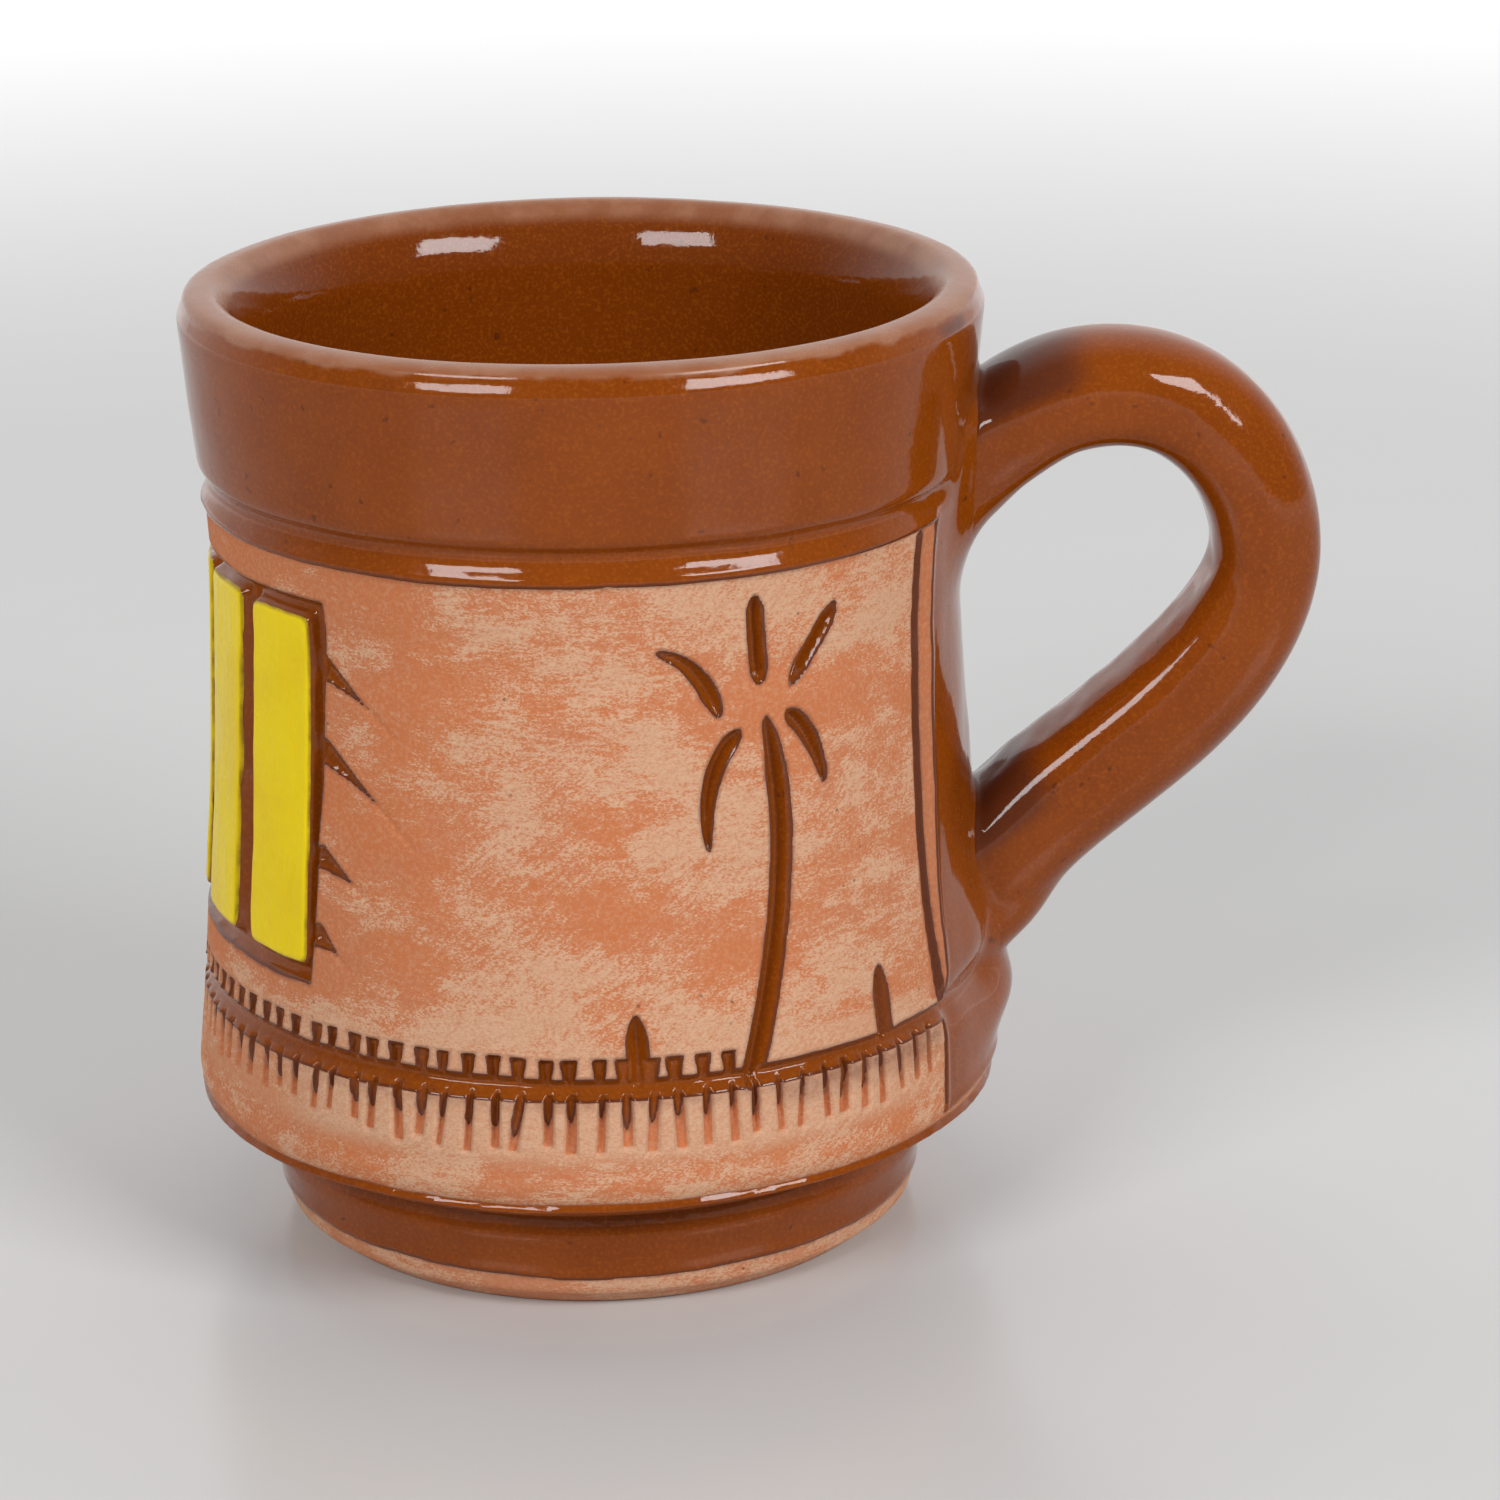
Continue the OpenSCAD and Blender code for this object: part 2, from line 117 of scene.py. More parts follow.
class SoftNoise:
    """Smooth random field in space, the same at every run."""

    def __init__(self, seed: int, size: int = 32) -> None:
        """Draw the lattice of the field, which repeats after its size."""
        self.size = size
        self.lattice = np.random.default_rng(seed).uniform(-1.0, 1.0, (size, size, size))

    def at(self, points: Array, grain: float, flat: float = 1.0) -> Array:
        """Read the field.

        Args:
            points: Places in mm, with the last axis x, y, z.
            grain: Size of its features in mm.
            flat: How many times lower than wide the features are.

        Returns:
            Values between -1 and 1.
        """
        scaled = points / np.array([grain, grain, grain / flat])
        cell = np.floor(scaled).astype(int)
        part = scaled - cell
        part = part * part * (3.0 - 2.0 * part)
        total = np.zeros(points.shape[:-1])
        for corner in np.ndindex(2, 2, 2):
            weight = np.ones(points.shape[:-1])
            for axis, side in enumerate(corner):
                weight = weight * (part[..., axis] if side else 1.0 - part[..., axis])
            index = (cell + np.array(corner)) % self.size
            total += weight * self.lattice[index[..., 0], index[..., 1], index[..., 2]]
        return total

    def waves(self, points: Array, *parts: Point) -> Array:
        """Sum of the field at several grains, each part giving a height and a grain."""
        return sum(height * self.at(points, grain) for height, grain in parts)


def seeded(seed: int) -> SoftNoise:
    """Dataclass field that holds its own noise."""
    return field(default_factory=lambda: SoftNoise(seed))


@dataclass
class PotShape:
    """Turned outline of the finished pot, in mm, with its main sizes read from the frame."""

    height: float
    lip_r: float
    belly_r: float
    lip_round: float = 3.15
    waist_in: float = 2.45
    waist_drop: float = 6.4
    belly_z: float = 17.5
    draw_in: float = 1.5
    wall_t: float = 5.2
    floor_t: float = 8.0
    inner_round: float = 19.7
    base_r: float = 30.5
    bare_edge_h: float = 2.2
    bare_edge_w: float = 2.9
    ridge_out: float = 1.6
    ridge_drop: float = 3.0
    crease_in: float = 7.95
    crease_drop: float = 5.5
    band_h: float = 21.6
    collar_out: float = 0.35
    flange_up: float = 4.6
    flange_out: float = 0.7
    ring_up: float = 10.7
    pole_r: float = 2.0
    corner_soft: float = 0.22
    lip_square: float = 0.70
    bevel_w: float = 0.62
    bevel_h: float = 1.5
    bevel_up: float = 1.1
    chamfer_w: float = 3.65
    chamfer_h: float = 7.0
    chamfer_flat: float = 1.3
    ring_zone_z: float = 32.5
    # Distance between rows of the grid on each stretch
    ROW_STEP: ClassVar[dict[str, float]] = {
        "underside": 2.5, "bare_edge": 0.45, "foot": 0.45, "ridge": 0.4, "belly": 0.16, "ring_zone": 0.28,
        "wall": 0.4, "collar": 0.4, "flange": 0.8, "lip_outside": 0.3, "lip_inside": 0.4, "throat": 1.4,
        "inside": 1.8, "bend": 1.8, "floor": 1.8,
    }
    ARC_POINTS: ClassVar[int] = 90
    WALL_POINTS: ClassVar[int] = 120

    @classmethod
    def from_frame(cls) -> "PotShape":
        """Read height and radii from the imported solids."""
        rim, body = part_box("rim_band_glaze")[1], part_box("thrown_body")[1]
        return cls(height=rim.z / MM, lip_r=rim.y / MM, belly_r=body.y / MM)

    def __post_init__(self) -> None:
        """Work out the heights and radii of rim band, waist, collar, crease, ridge and ring."""
        self.band_z = self.height - self.band_h
        self.waist_z = self.band_z - self.waist_drop
        self.waist_r = self.lip_r - self.waist_in
        self.collar_r = self.waist_r + self.collar_out
        self.crease_z = self.belly_z - self.crease_drop
        self.ridge_z = self.crease_z - self.ridge_drop
        self.ring_z = self.belly_z + self.ring_up

    def wall_radius(self, z: Array) -> Array:
        """Radius of the wall between belly and rim band.

        Args:
            z: Heights in mm.

        Returns:
            Radii in mm.
        """
        z = np.asarray(z, float)
        drop = np.clip((self.waist_z - z) / (self.waist_z - self.belly_z), 0.0, None)
        rise = np.clip((z - self.waist_z) / self.waist_drop, 0.0, None)
        return self.waist_r + (self.belly_r - self.waist_r) * drop**self.draw_in + self.collar_out * rise

    def _arc(self, middle: Point, radii: Point, turn: Point, full: float = 1.0) -> list[Point]:
        """Points of part of an ellipse.

        Args:
            middle: Radius and height of its middle.
            radii: Its half-width and half-height.
            turn: Angles of its start and end.
            full: Power that squares it off below 1 and flattens it above 1.

        Returns:
            Radius and height of each point.
        """
        angles = np.radians(np.linspace(*turn, self.ARC_POINTS))
        across = middle[0] + radii[0] * squarer(np.cos(angles), full)
        up = middle[1] + radii[1] * squarer(np.sin(angles), full)
        return list(zip(across.tolist(), up.tolist()))

    def _upright(self, start_z: float, end_z: float, inward: float = 0.0) -> list[Point]:
        """Points of the wall between two heights, moved inward."""
        heights = np.linspace(start_z, end_z, self.WALL_POINTS)
        return [(float(self.wall_radius(z)) - inward, z) for z in heights]

    def stretches(self) -> dict[str, list[Point]]:
        """Outline from the underside round the lip to the floor inside.

        Returns:
            Radius and height of the points of each stretch, by its name.
        """
        base = (self.base_r, 0.0)
        bare_top = (self.base_r + self.bare_edge_w, self.bare_edge_h)
        ridge = (bare_top[0] + self.ridge_out, self.ridge_z)
        crease = (self.belly_r - self.crease_in, self.crease_z)
        collar = (self.collar_r, self.band_z)
        flange = (self.collar_r + self.flange_out, self.band_z + self.flange_up)
        bevel = (self.lip_r, self.height - self.bevel_up - self.bevel_h)
        crest_r = self.lip_r - self.lip_round
        crest_radii = (self.lip_round - self.bevel_w, self.bevel_up)
        crest = self._arc((crest_r, self.height - self.bevel_up), crest_radii, (0, 90), self.lip_square)
        chamfer = (self.chamfer_w, self.chamfer_h)
        throat_z = self.height - self.chamfer_h
        bend_z = self.floor_t + self.inner_round
        bend_r = float(self.wall_radius(bend_z)) - self.wall_t - self.inner_round
        return {
            "underside": [(self.pole_r, 0.0), base],
            "bare_edge": [base, bare_top],
            "foot": [bare_top, ridge],
            "ridge": [ridge, crease],
            "belly": self._arc((crease[0], self.belly_z), (self.crease_in, self.crease_drop), (-90, 0)),
            "ring_zone": self._upright(self.belly_z, self.ring_zone_z),
            "wall": self._upright(self.ring_zone_z, self.band_z),
            "collar": [collar, flange],
            "flange": [flange, bevel],
            "lip_outside": [bevel, *crest],
            "lip_inside": self._arc((crest_r, throat_z), chamfer, (90, 180), self.chamfer_flat),
            "throat": [(crest_r - self.chamfer_w, throat_z), (self.waist_r - self.wall_t, self.waist_z)],
            "inside": self._upright(self.waist_z, bend_z, self.wall_t),
            "bend": self._arc((bend_r, bend_z), (self.inner_round, self.inner_round), (0, -90)),
            "floor": [(bend_r, self.floor_t), (self.pole_r, self.floor_t)],
        }


class Wall:
    """Grid over the pot: rows along its outline, columns round it."""

    DENSE = 0.05
    UNDER_WALL = 4.0
    # Start, end and spacing of the columns: picture side, handle side, plain back, tile side
    COLUMNS = ((-62.0, 64.0, 0.32), (64.0, 122.0, 0.6), (122.0, 218.0, 1.2), (218.0, 298.0, 0.6))

    def __init__(self, shape: PotShape) -> None:
        """Lay out rows and columns.

        Args:
            shape: Outline of the pot.
        """
        self.shape = shape
        points: list[Point] = []
        ends: dict[str, float] = {}
        rows: list[float] = [0.0]
        travelled = 0.0
        for name, stretch in shape.stretches().items():
            length = float(np.hypot(*np.diff(np.array(stretch), axis=0).T).sum())
            count = max(2, math.ceil(length / shape.ROW_STEP[name]))
            rows += [travelled + length * (k + 1) / count for k in range(count)]
            travelled += length
            ends[name] = travelled
            points += stretch
        self.ends = ends
        dense, line = self._even(np.array(points))
        soft = self._softened(line, shape.corner_soft)
        self.s = np.array(rows)
        self.r, self.z = sampled(self.s, dense, soft).T.copy()
        tangent = sampled(self.s, dense, np.gradient(soft, dense, axis=0))
        tangent /= np.linalg.norm(tangent, axis=1)[:, None]
        self.out_r, self.out_z = tangent[:, 1], -tangent[:, 0]
        spans = [np.arange(a, b - 1e-6, (b - a) / round((b - a) / step)) for a, b, step in self.COLUMNS]
        self.az = np.concatenate(spans)
        self.base = self.points(np.zeros((self.s.size, self.az.size)))
        self.zz = np.repeat(self.z[:, None], self.az.size, axis=1)
        self.ss = np.repeat(self.s[:, None], self.az.size, axis=1)
        self.azz = np.repeat(turned_to(self.az, 0.0)[None, :], self.s.size, axis=0)
        self.outside = self.ss <= ends["lip_outside"]
        self.on_wall = (self.ss > ends["belly"] - self.UNDER_WALL) & (self.ss <= ends["lip_outside"])

    def _even(self, points: Array) -> tuple[Array, Array]:
        """Resample a polyline at an even dense step.

        Args:
            points: Corners of the line.

        Returns:
            Distances along it, and the points there.
        """
        steps = np.hypot(*np.diff(points, axis=0).T)
        keep = np.concatenate([[True], steps > 1e-9])
        points = points[keep]
        along = travel(points)
        dense = np.linspace(0.0, along[-1], int(along[-1] / self.DENSE))
        return dense, sampled(dense, along, points)

    def _softened(self, line: Array, soft: float) -> Array:
        """Round the corners of a dense line by a bell of the given width.

        Args:
            line: Evenly spaced points.
            soft: Width of the bell in mm.

        Returns:
            The rounded line.
        """
        reach = int(3 * soft / self.DENSE)
        kernel = np.exp(-0.5 * (np.arange(-reach, reach + 1) * self.DENSE / soft) ** 2)
        kernel /= kernel.sum()
        padded = np.pad(line, ((reach, reach), (0, 0)), mode="reflect", reflect_type="odd")
        return np.stack([np.convolve(padded[:, k], kernel, mode="valid") for k in (0, 1)], axis=1)

    def points(self, height: Array) -> Array:
        """Places of the grid, raised along the outline's normal.

        Args:
            height: Height in mm at each row and column.

        Returns:
            Places in mm, rows by columns by 3.
        """
        radius = self.r[:, None] + self.out_r[:, None] * height
        turn = np.radians(self.az)[None, :]
        level = self.z[:, None] + self.out_z[:, None] * height
        return np.stack([radius * np.sin(turn), -radius * np.cos(turn), level], axis=-1)

    def normals(self, places: Array) -> Array:
        """Unit normals of a raised grid, out of the clay.

        Args:
            places: Grid of places.

        Returns:
            Unit normals, rows by columns by 3.
        """
        around = np.roll(places, -1, axis=1) - np.roll(places, 1, axis=1)
        along = np.gradient(places, axis=0)
        normal = np.cross(around, along)
        return normal / np.maximum(np.linalg.norm(normal, axis=-1, keepdims=True), 1e-12)

    def across(self, azimuth: float) -> Array:
        """Distance in mm round the wall from a direction."""
        return np.radians(turned_to(self.az, azimuth))[None, :] * self.r[:, None]

    def row_at(self, z: float, after: str) -> float:
        """Distance along the outline at which a height is reached after the named stretch."""
        beyond = (self.s >= self.ends[after]) & (self.s <= self.ends["lip_outside"])
        return float(np.interp(z, self.z[beyond], self.s[beyond]))

    def radius_at(self, places: Array, height: Array) -> Array:
        """Radius of the raised outside at the level and direction of other places.

        Args:
            places: Places in mm, last axis x, y, z.
            height: Height in mm at each row and column.

        Returns:
            Radius in mm for each place.
        """
        rows = np.flatnonzero((self.s >= self.ends["belly"]) & (self.s <= self.ends["flange"]))
        row = np.interp(places[..., 2], self.z[rows], rows)
        turn = np.degrees(np.arctan2(places[..., 0], -places[..., 1]))
        col = np.interp(self.az[0] + (turn - self.az[0]) % 360.0, self.az, np.arange(self.az.size))
        grid = self.r[:, None] + self.out_r[:, None] * height
        i = np.minimum(row.astype(int), self.s.size - 2)
        j = np.minimum(col.astype(int), self.az.size - 2)
        u, v = row - i, col - j
        near = grid[i, j] * (1 - v) + grid[i, j + 1] * v
        far = grid[i + 1, j] * (1 - v) + grid[i + 1, j + 1] * v
        return near * (1 - u) + far * u

    @staticmethod
    def softened(height: Array, passes: int) -> Array:
        """Height field rounded by a few passes over neighbouring points.

        Args:
            height: Height at each row and column.
            passes: Number of passes.

        Returns:
            The rounded heights.
        """
        for _ in range(passes):
            height = (np.roll(height, 1, 1) + 2 * height + np.roll(height, -1, 1)) / 4
            padded = np.pad(height, ((1, 1), (0, 0)), mode="edge")
            height = (padded[:-2] + 2 * height + padded[2:]) / 4
        return height


@dataclass(frozen=True)
class Stroke:
    """Carved stroke through places (azimuth, height), narrowing to a point at either end."""

    places: Places
    half: float
    depth: float
    tip: float = 0.0
    tail: float = 0.0
    end: float = 1.0
    point: float = 0.42
    whisker: float = 0.0
    whisker_d: float = 0.3
    burr: float = 0.10
    STEPS: ClassVar[int] = 24
    MARGIN_A: ClassVar[float] = 8.0
    MARGIN_Z: ClassVar[float] = 5.0

    def path(self) -> Array:
        """Smooth run of places through the given ones.

        Returns:
            Azimuth and height of each place.
        """
        knots = np.array(self.places)
        along = travel(knots)
        where = np.linspace(0.0, 1.0, self.STEPS)
        order = min(3, len(knots) - 1)
        fits = [np.polyfit(along / along[-1], knots[:, k], order) for k in (0, 1)]
        return np.stack([np.polyval(fit, where) for fit in fits], axis=1)

    def _near(self, wall: Wall) -> tuple[Array, Array]:
        """Read how far each point lies from the stroke's middle line, and where along it.

        Args:
            wall: Grid over the pot.

        Returns:
            Distance in mm, and share from 0 to 1.
        """
        path = self.path()
        gap = np.full(wall.zz.shape, -FAR_OUT)
        share = np.zeros(wall.zz.shape)
        cols = np.abs(turned_to(wall.az, float(path[:, 0].mean()))) < np.ptp(path[:, 0]) / 2 + self.MARGIN_A
        rows = (wall.z > path[:, 1].min() - self.MARGIN_Z) & (wall.z < path[:, 1].max() + self.MARGIN_Z)
        rows &= wall.s < wall.ends["lip_outside"]
        z = wall.z[rows][:, None]
        radius = wall.r[rows][:, None]
        az = wall.az[cols][None, :]
        best = np.full((z.size, az.size), 1e9)
        where = np.zeros_like(best)
        for k in range(len(path) - 1):
            u0 = np.radians(turned_to(az, path[k, 0])) * radius
            v0 = z - path[k, 1]
            du = np.radians(path[k + 1, 0] - path[k, 0]) * radius
            dv = path[k + 1, 1] - path[k, 1]
            t = np.clip((u0 * du + v0 * dv) / (du * du + dv * dv), 0.0, 1.0)
            away = np.hypot(u0 - t * du, v0 - t * dv)
            nearer = away < best
            best = np.where(nearer, away, best)
            where = np.where(nearer, (k + t) / (len(path) - 1), where)
        gap[np.ix_(rows, cols)] = best
        share[np.ix_(rows, cols)] = where
        return gap, share

    def _body(self, share: Array) -> Array:
        """Share of the full width along the stroke."""
        ends = ((share, self.tip), (self.end - share, self.tail))
        return math.prod(np.clip(part / run, 0.0, 1.0) ** self.point for part, run in ends if run)

    def reach(self, wall: Wall) -> Array:
        """Signed distance inside the stroke's edge, in mm.

        Args:
            wall: Grid over the pot.

        Returns:
            Signed distance in mm at each point.
        """
        gap, share = self._near(wall)
        beyond = smooth(self.end - 0.02, self.end + 0.06, share) if self.end < 1.0 else 0.0
        return self.half * self._body(share) - gap - beyond

    def cut(self, wall: Wall) -> Array:
        """Depth of the stroke at each point, in mm, less the burr thrown up beside it.

        Args:
            wall: Grid over the pot.

        Returns:
            Depth in mm at each point.
        """
        gap, share = self._near(wall)
        body = self._body(share)
        inside = self.half * body - gap
        fill = np.clip(inside / np.maximum(self.half * body, 0.15), 0.0, 1.0)
        depth = self.depth * (0.3 + 0.7 * body) * (1.0 - (1.0 - fill) ** 1.35)
        burr = self.burr * bell(inside + 0.35, 0.3) * (body > 0.3)
        if not self.whisker:
            return np.maximum(depth - burr, 0.0)
        scratch = self.whisker_d * smooth(self.whisker, 0.0, gap) * np.sqrt(1.0 - share)
        return np.maximum(depth - burr, scratch)


class Deposit(ABC):
    """Something carved, laid or smeared on the wall."""

    node = ""
    slot = "pooled_glaze"
    coat = 0.12
    settles = 0.3
    sinks = False
    fullness = 4.0

    def carve(self, wall: Wall) -> Array:
        """Depth cut into the clay at each point, in mm."""
        return np.zeros(wall.zz.shape)

    def swell(self, wall: Wall) -> Array:
        """Height added to the clay at each point, in mm."""
        return np.zeros(wall.zz.shape)

    def cover(self, wall: Wall) -> Array:
        """Signed distance inside the coat's edge at each point, in mm."""
        return np.full(wall.zz.shape, FAR_OUT)


class FullCoat(Deposit):
    """Thick coat that levels out, on clay sunk to take it."""

    slot = "band_glaze"
    coat = 0.32
    settles = 1.0
    sinks = True


@dataclass
class LinerCoat(FullCoat):
    """Glaze of the inside and the inner half of the lip."""

    node: str = "liner_glaze"
    slot: str = "inside_glaze"
    throw_pitch: float = 6.5
    throw_depth: float = 0.10
    throw_from: Point = (0.0, 12.0)
    well_inside: float = 9.0

    def carve(self, wall: Wall) -> Array:
        """Low rings left by the potter's fingers."""
        swirl = 1 + np.sin(2 * math.pi * wall.ss / self.throw_pitch + np.radians(wall.azz))
        return smooth(*self.throw_from, wall.ss - wall.ends["lip_inside"]) * self.throw_depth * swirl

    def cover(self, wall: Wall) -> Array:
        """Everything past the crest of the lip."""
        return np.where(wall.ss > wall.ends["lip_outside"], self.well_inside, FAR_OUT)


@dataclass
class RimBand(FullCoat):
    """Glaze of the rim, with the groove cut under its flange."""

    node: str = "rim_band_glaze"
    groove_z: float = 81.4
    groove_tilt: float = 0.5
    groove_d: float = 0.95
    cove_h: float = 2.7
    roll_h: float = 0.55
    roll_up: float = 0.5
    roll_half: float = 0.6
    tilt_az: float = -15.0
    edge_down: float = 0.1
    edge_waves: Places = ((0.16, 5.0), (0.06, 1.6))
    groove_wave: Point = (0.12, 9.0)
    # Distance from the handle, in degrees, over which groove and roll come in
    clear_a: Point = (17.0, 29.0)
    noise: SoftNoise = seeded(11)

    def _clear(self, wall: Wall) -> Array:
        """Share of groove and roll that stays clear of the handle's root."""
        return smooth(*self.clear_a, np.abs(turned_to(wall.azz, HANDLE_AZ)))

    def carve(self, wall: Wall) -> Array:
        """Step under the flange, easing back out to the collar.

        Args:
            wall: Grid over the pot.

        Returns:
            Depth in mm at each point.
        """
        level = self.groove_z + self.groove_tilt * np.cos(np.radians(wall.azz - self.tilt_az))
        above = wall.zz - level - self.noise.waves(wall.base, self.groove_wave)
        step = smooth(0.32, -0.12, above) * (1.0 - np.clip((-above - 0.3) / self.cove_h, 0.0, 1.0) ** 2)
        return np.where(wall.on_wall, self.groove_d * step * self._clear(wall), 0.0)

    def swell(self, wall: Wall) -> Array:
        """Roll of thick glaze and clay at the band's lower edge."""
        up = wall.zz - wall.shape.band_z - self.roll_up
        return np.where(wall.on_wall, self.roll_h * bell(up, self.roll_half) * self._clear(wall), 0.0)

    def cover(self, wall: Wall) -> Array:
        """Everything above a wavering edge on the collar."""
        edge = wall.row_at(wall.shape.band_z - self.edge_down, "belly")
        return np.where(wall.outside, wall.ss - edge + self.noise.waves(wall.base, *self.edge_waves), FAR_OUT)


@dataclass
class FootBand(FullCoat):
    """Glaze of the foot, from a bare clay edge up into the crease."""

    node: str = "foot_band_glaze"
    low_z: float = 4.2
    turned_under: float = 0.51
    ridge_h: float = 0.16
    ridge_half: float = 0.5
    ridge_down: float = 0.35
    groove_d: float = 0.26
    groove_half: float = 0.42
    groove_up: float = 0.55
    upper_waves: Places = ((0.3, 9.0), (0.12, 2.0))
    lower_waves: Places = ((0.55, 16.0), (0.14, 2.4))
    noise: SoftNoise = seeded(12)

    def carve(self, wall: Wall) -> Array:
        """Turned line round the foot, a fine groove."""
        groove = self.groove_d * bell(wall.zz - wall.shape.ridge_z - self.groove_up, self.groove_half)
        return np.where(wall.ss < wall.ends["ridge"], groove, 0.0)

    def swell(self, wall: Wall) -> Array:
        """Low ridge under the groove."""
        ridge = self.ridge_h * bell(wall.zz - wall.shape.ridge_z + self.ridge_down, self.ridge_half)
        return np.where(wall.ss < wall.ends["ridge"], ridge, 0.0)

    def _upper(self, wall: Wall) -> Array:
        """Where the coat ends under the belly, as a distance along the outline."""
        under = wall.s[(wall.s > wall.ends["ridge"]) & (wall.out_z < -self.turned_under)].max()
        return under + self.noise.waves(wall.base, *self.upper_waves)

    def cover(self, wall: Wall) -> Array:
        """From a wavering line over the bare edge to just past the crease."""
        low = wall.ss - wall.row_at(self.low_z, "underside") + self.noise.waves(wall.base, *self.lower_waves)
        return np.minimum(low, self._upper(wall) - wall.ss)


@dataclass
class FrameLines(Deposit):
    """Carved upright line at each side of the handle's panel."""

    node: str = "frame_line_glaze"
    half: float = 0.76
    depth: float = 0.95
    rim: float = 0.05
    fullness: float = 0.14
    # Azimuth and height of places on the line, from the rim band down to the ring
    places: Places = ((58.5, 77.3), (57.0, 63.0), (56.4, 53.0), (56.6, 40.0), (58.4, 28.6))

    def strokes(self) -> list[Stroke]:
        """Both lines, the second mirrored about the handle."""
        mirrored = tuple((2 * HANDLE_AZ - az, z) for az, z in self.places)
        return [Stroke(p, self.half, self.depth) for p in (self.places, mirrored)]

    def carve(self, wall: Wall) -> Array:
        """Both grooves."""
        return np.maximum(*[s.cut(wall) for s in self.strokes()])

    def cover(self, wall: Wall) -> Array:
        """Glaze run along both grooves."""
        return np.maximum(*[s.reach(wall) for s in self.strokes()]) - self.rim


@dataclass(frozen=True)
class ThumbedClay:
    """Soft clay pressed over the wall under the handle's lower root."""

    wad_h: float = 1.7
    wad_z: float = 32.4
    wad_half: float = 4.2
    belly_h: float = 2.1
    belly_z: float = 22.6
    belly_half: float = 3.7
    half_w: float = 11.0

    def at(self, across: Array, z: Array) -> Array:
        """Height over the turned wall, in mm.

        Args:
            across: Distance round the wall from the handle's plane, in mm.
            z: Height in mm.

        Returns:
            Height of the pressed clay.
        """
        beside = -((across / self.half_w) ** 2)
        wad = self.wad_h * np.exp(beside - ((z - self.wad_z) / self.wad_half) ** 2)
        belly = self.belly_h * np.exp(beside - ((z - self.belly_z) / self.belly_half) ** 2)
        return wad + belly


@dataclass
class HandlePanel(FullCoat):
    """Glaze of the wall behind the handle, over the clay smeared from the handle's roots."""

    node: str = "handle_panel_glaze"
    low_z: float = 16.6
    thumbed: ThumbedClay = ThumbedClay()
    # Azimuth and height of places on the panel's front edge, from the rim band down to the belly
    edge: Places = ((63.1, 77.0), (61.4, 59.1), (59.9, 42.8), (60.4, 31.0), (58.6, 25.0), (57.4, 17.6))
    edge_waves: Places = ((0.22, 4.0), (0.10, 1.3))
    low_wave: Point = (0.5, 6.0)
    ridge_h: float = 0.4
    ridge_half: float = 0.7
    # Heights between which the ridge and the bare strip come and go, and how far out the strip begins
    ridge_z: Places = ((27.0, 30.0), (78.5, 77.0))
    strip_z: Places = ((28.0, 30.0), (79.0, 77.5))
    strip_out: Point = (-3.6, -2.6)
    lump_h: float = 0.22
    lump_low_h: float = 0.2
    lump_grain: float = 6.5
    lump_low: Point = (40.0, 30.0)
    lump_in: Point = (1.5, 6.0)
    rim_clear: float = 8.0
    noise: SoftNoise = seeded(13)

    def edge_az(self, wall: Wall) -> Array:
        """Azimuth of the panel's front edge at each row."""
        knots = sorted((z, az) for az, z in self.edge)
        return np.interp(wall.z, [z for z, _ in knots], [az for _, az in knots])

    def swell(self, wall: Wall) -> Array:
        """Pressed clay, thumb lumps and the ridge of clay beside each frame line.

        Args:
            wall: Grid over the pot.

        Returns:
            Height in mm at each point.
        """
        pressed = self.thumbed.at(wall.across(HANDLE_AZ), wall.zz)
        inside = self.cover(wall)
        ridge = self.ridge_h * bell(inside + self.ridge_half, self.ridge_half)
        ridge = ridge * span(*self.ridge_z, wall.zz)
        lumps = self.lump_h + self.lump_low_h * smooth(*self.lump_low, wall.zz)
        lumps = lumps * self.noise.at(wall.base, self.lump_grain) * smooth(*self.lump_in, inside)
        below_rim = wall.zz < wall.shape.height - self.rim_clear
        return np.where(wall.on_wall & below_rim, pressed + ridge + lumps, 0.0)

    def bare_strip(self, wall: Wall) -> Array:
        """Where the clay shows plain between each frame line and the panel."""
        level = span(*self.strip_z, wall.zz)
        return np.where(wall.on_wall, smooth(*self.strip_out, self.cover(wall)) * level, 0.0)

    def cover(self, wall: Wall) -> Array:
        """Between the two frame lines, down to a ragged edge on the belly.

        Args:
            wall: Grid over the pot.

        Returns:
            Signed distance in mm at each point.
        """
        half = np.radians(HANDLE_AZ - self.edge_az(wall)) * wall.r
        wave = self.noise.waves(wall.base, *self.edge_waves)
        sides = half[:, None] - np.abs(wall.across(HANDLE_AZ)) + wave
        low = wall.zz - self.low_z + self.noise.waves(wall.base, self.low_wave)
        return np.where(wall.on_wall, np.minimum(sides, low), FAR_OUT)


@dataclass(frozen=True)
class Tooth:
    """Chance differences of one mark of the toothed wheel: width, length, depth, slant and run of glaze."""

    wider: float
    shorter: float
    deep: float
    slant: float
    run: float


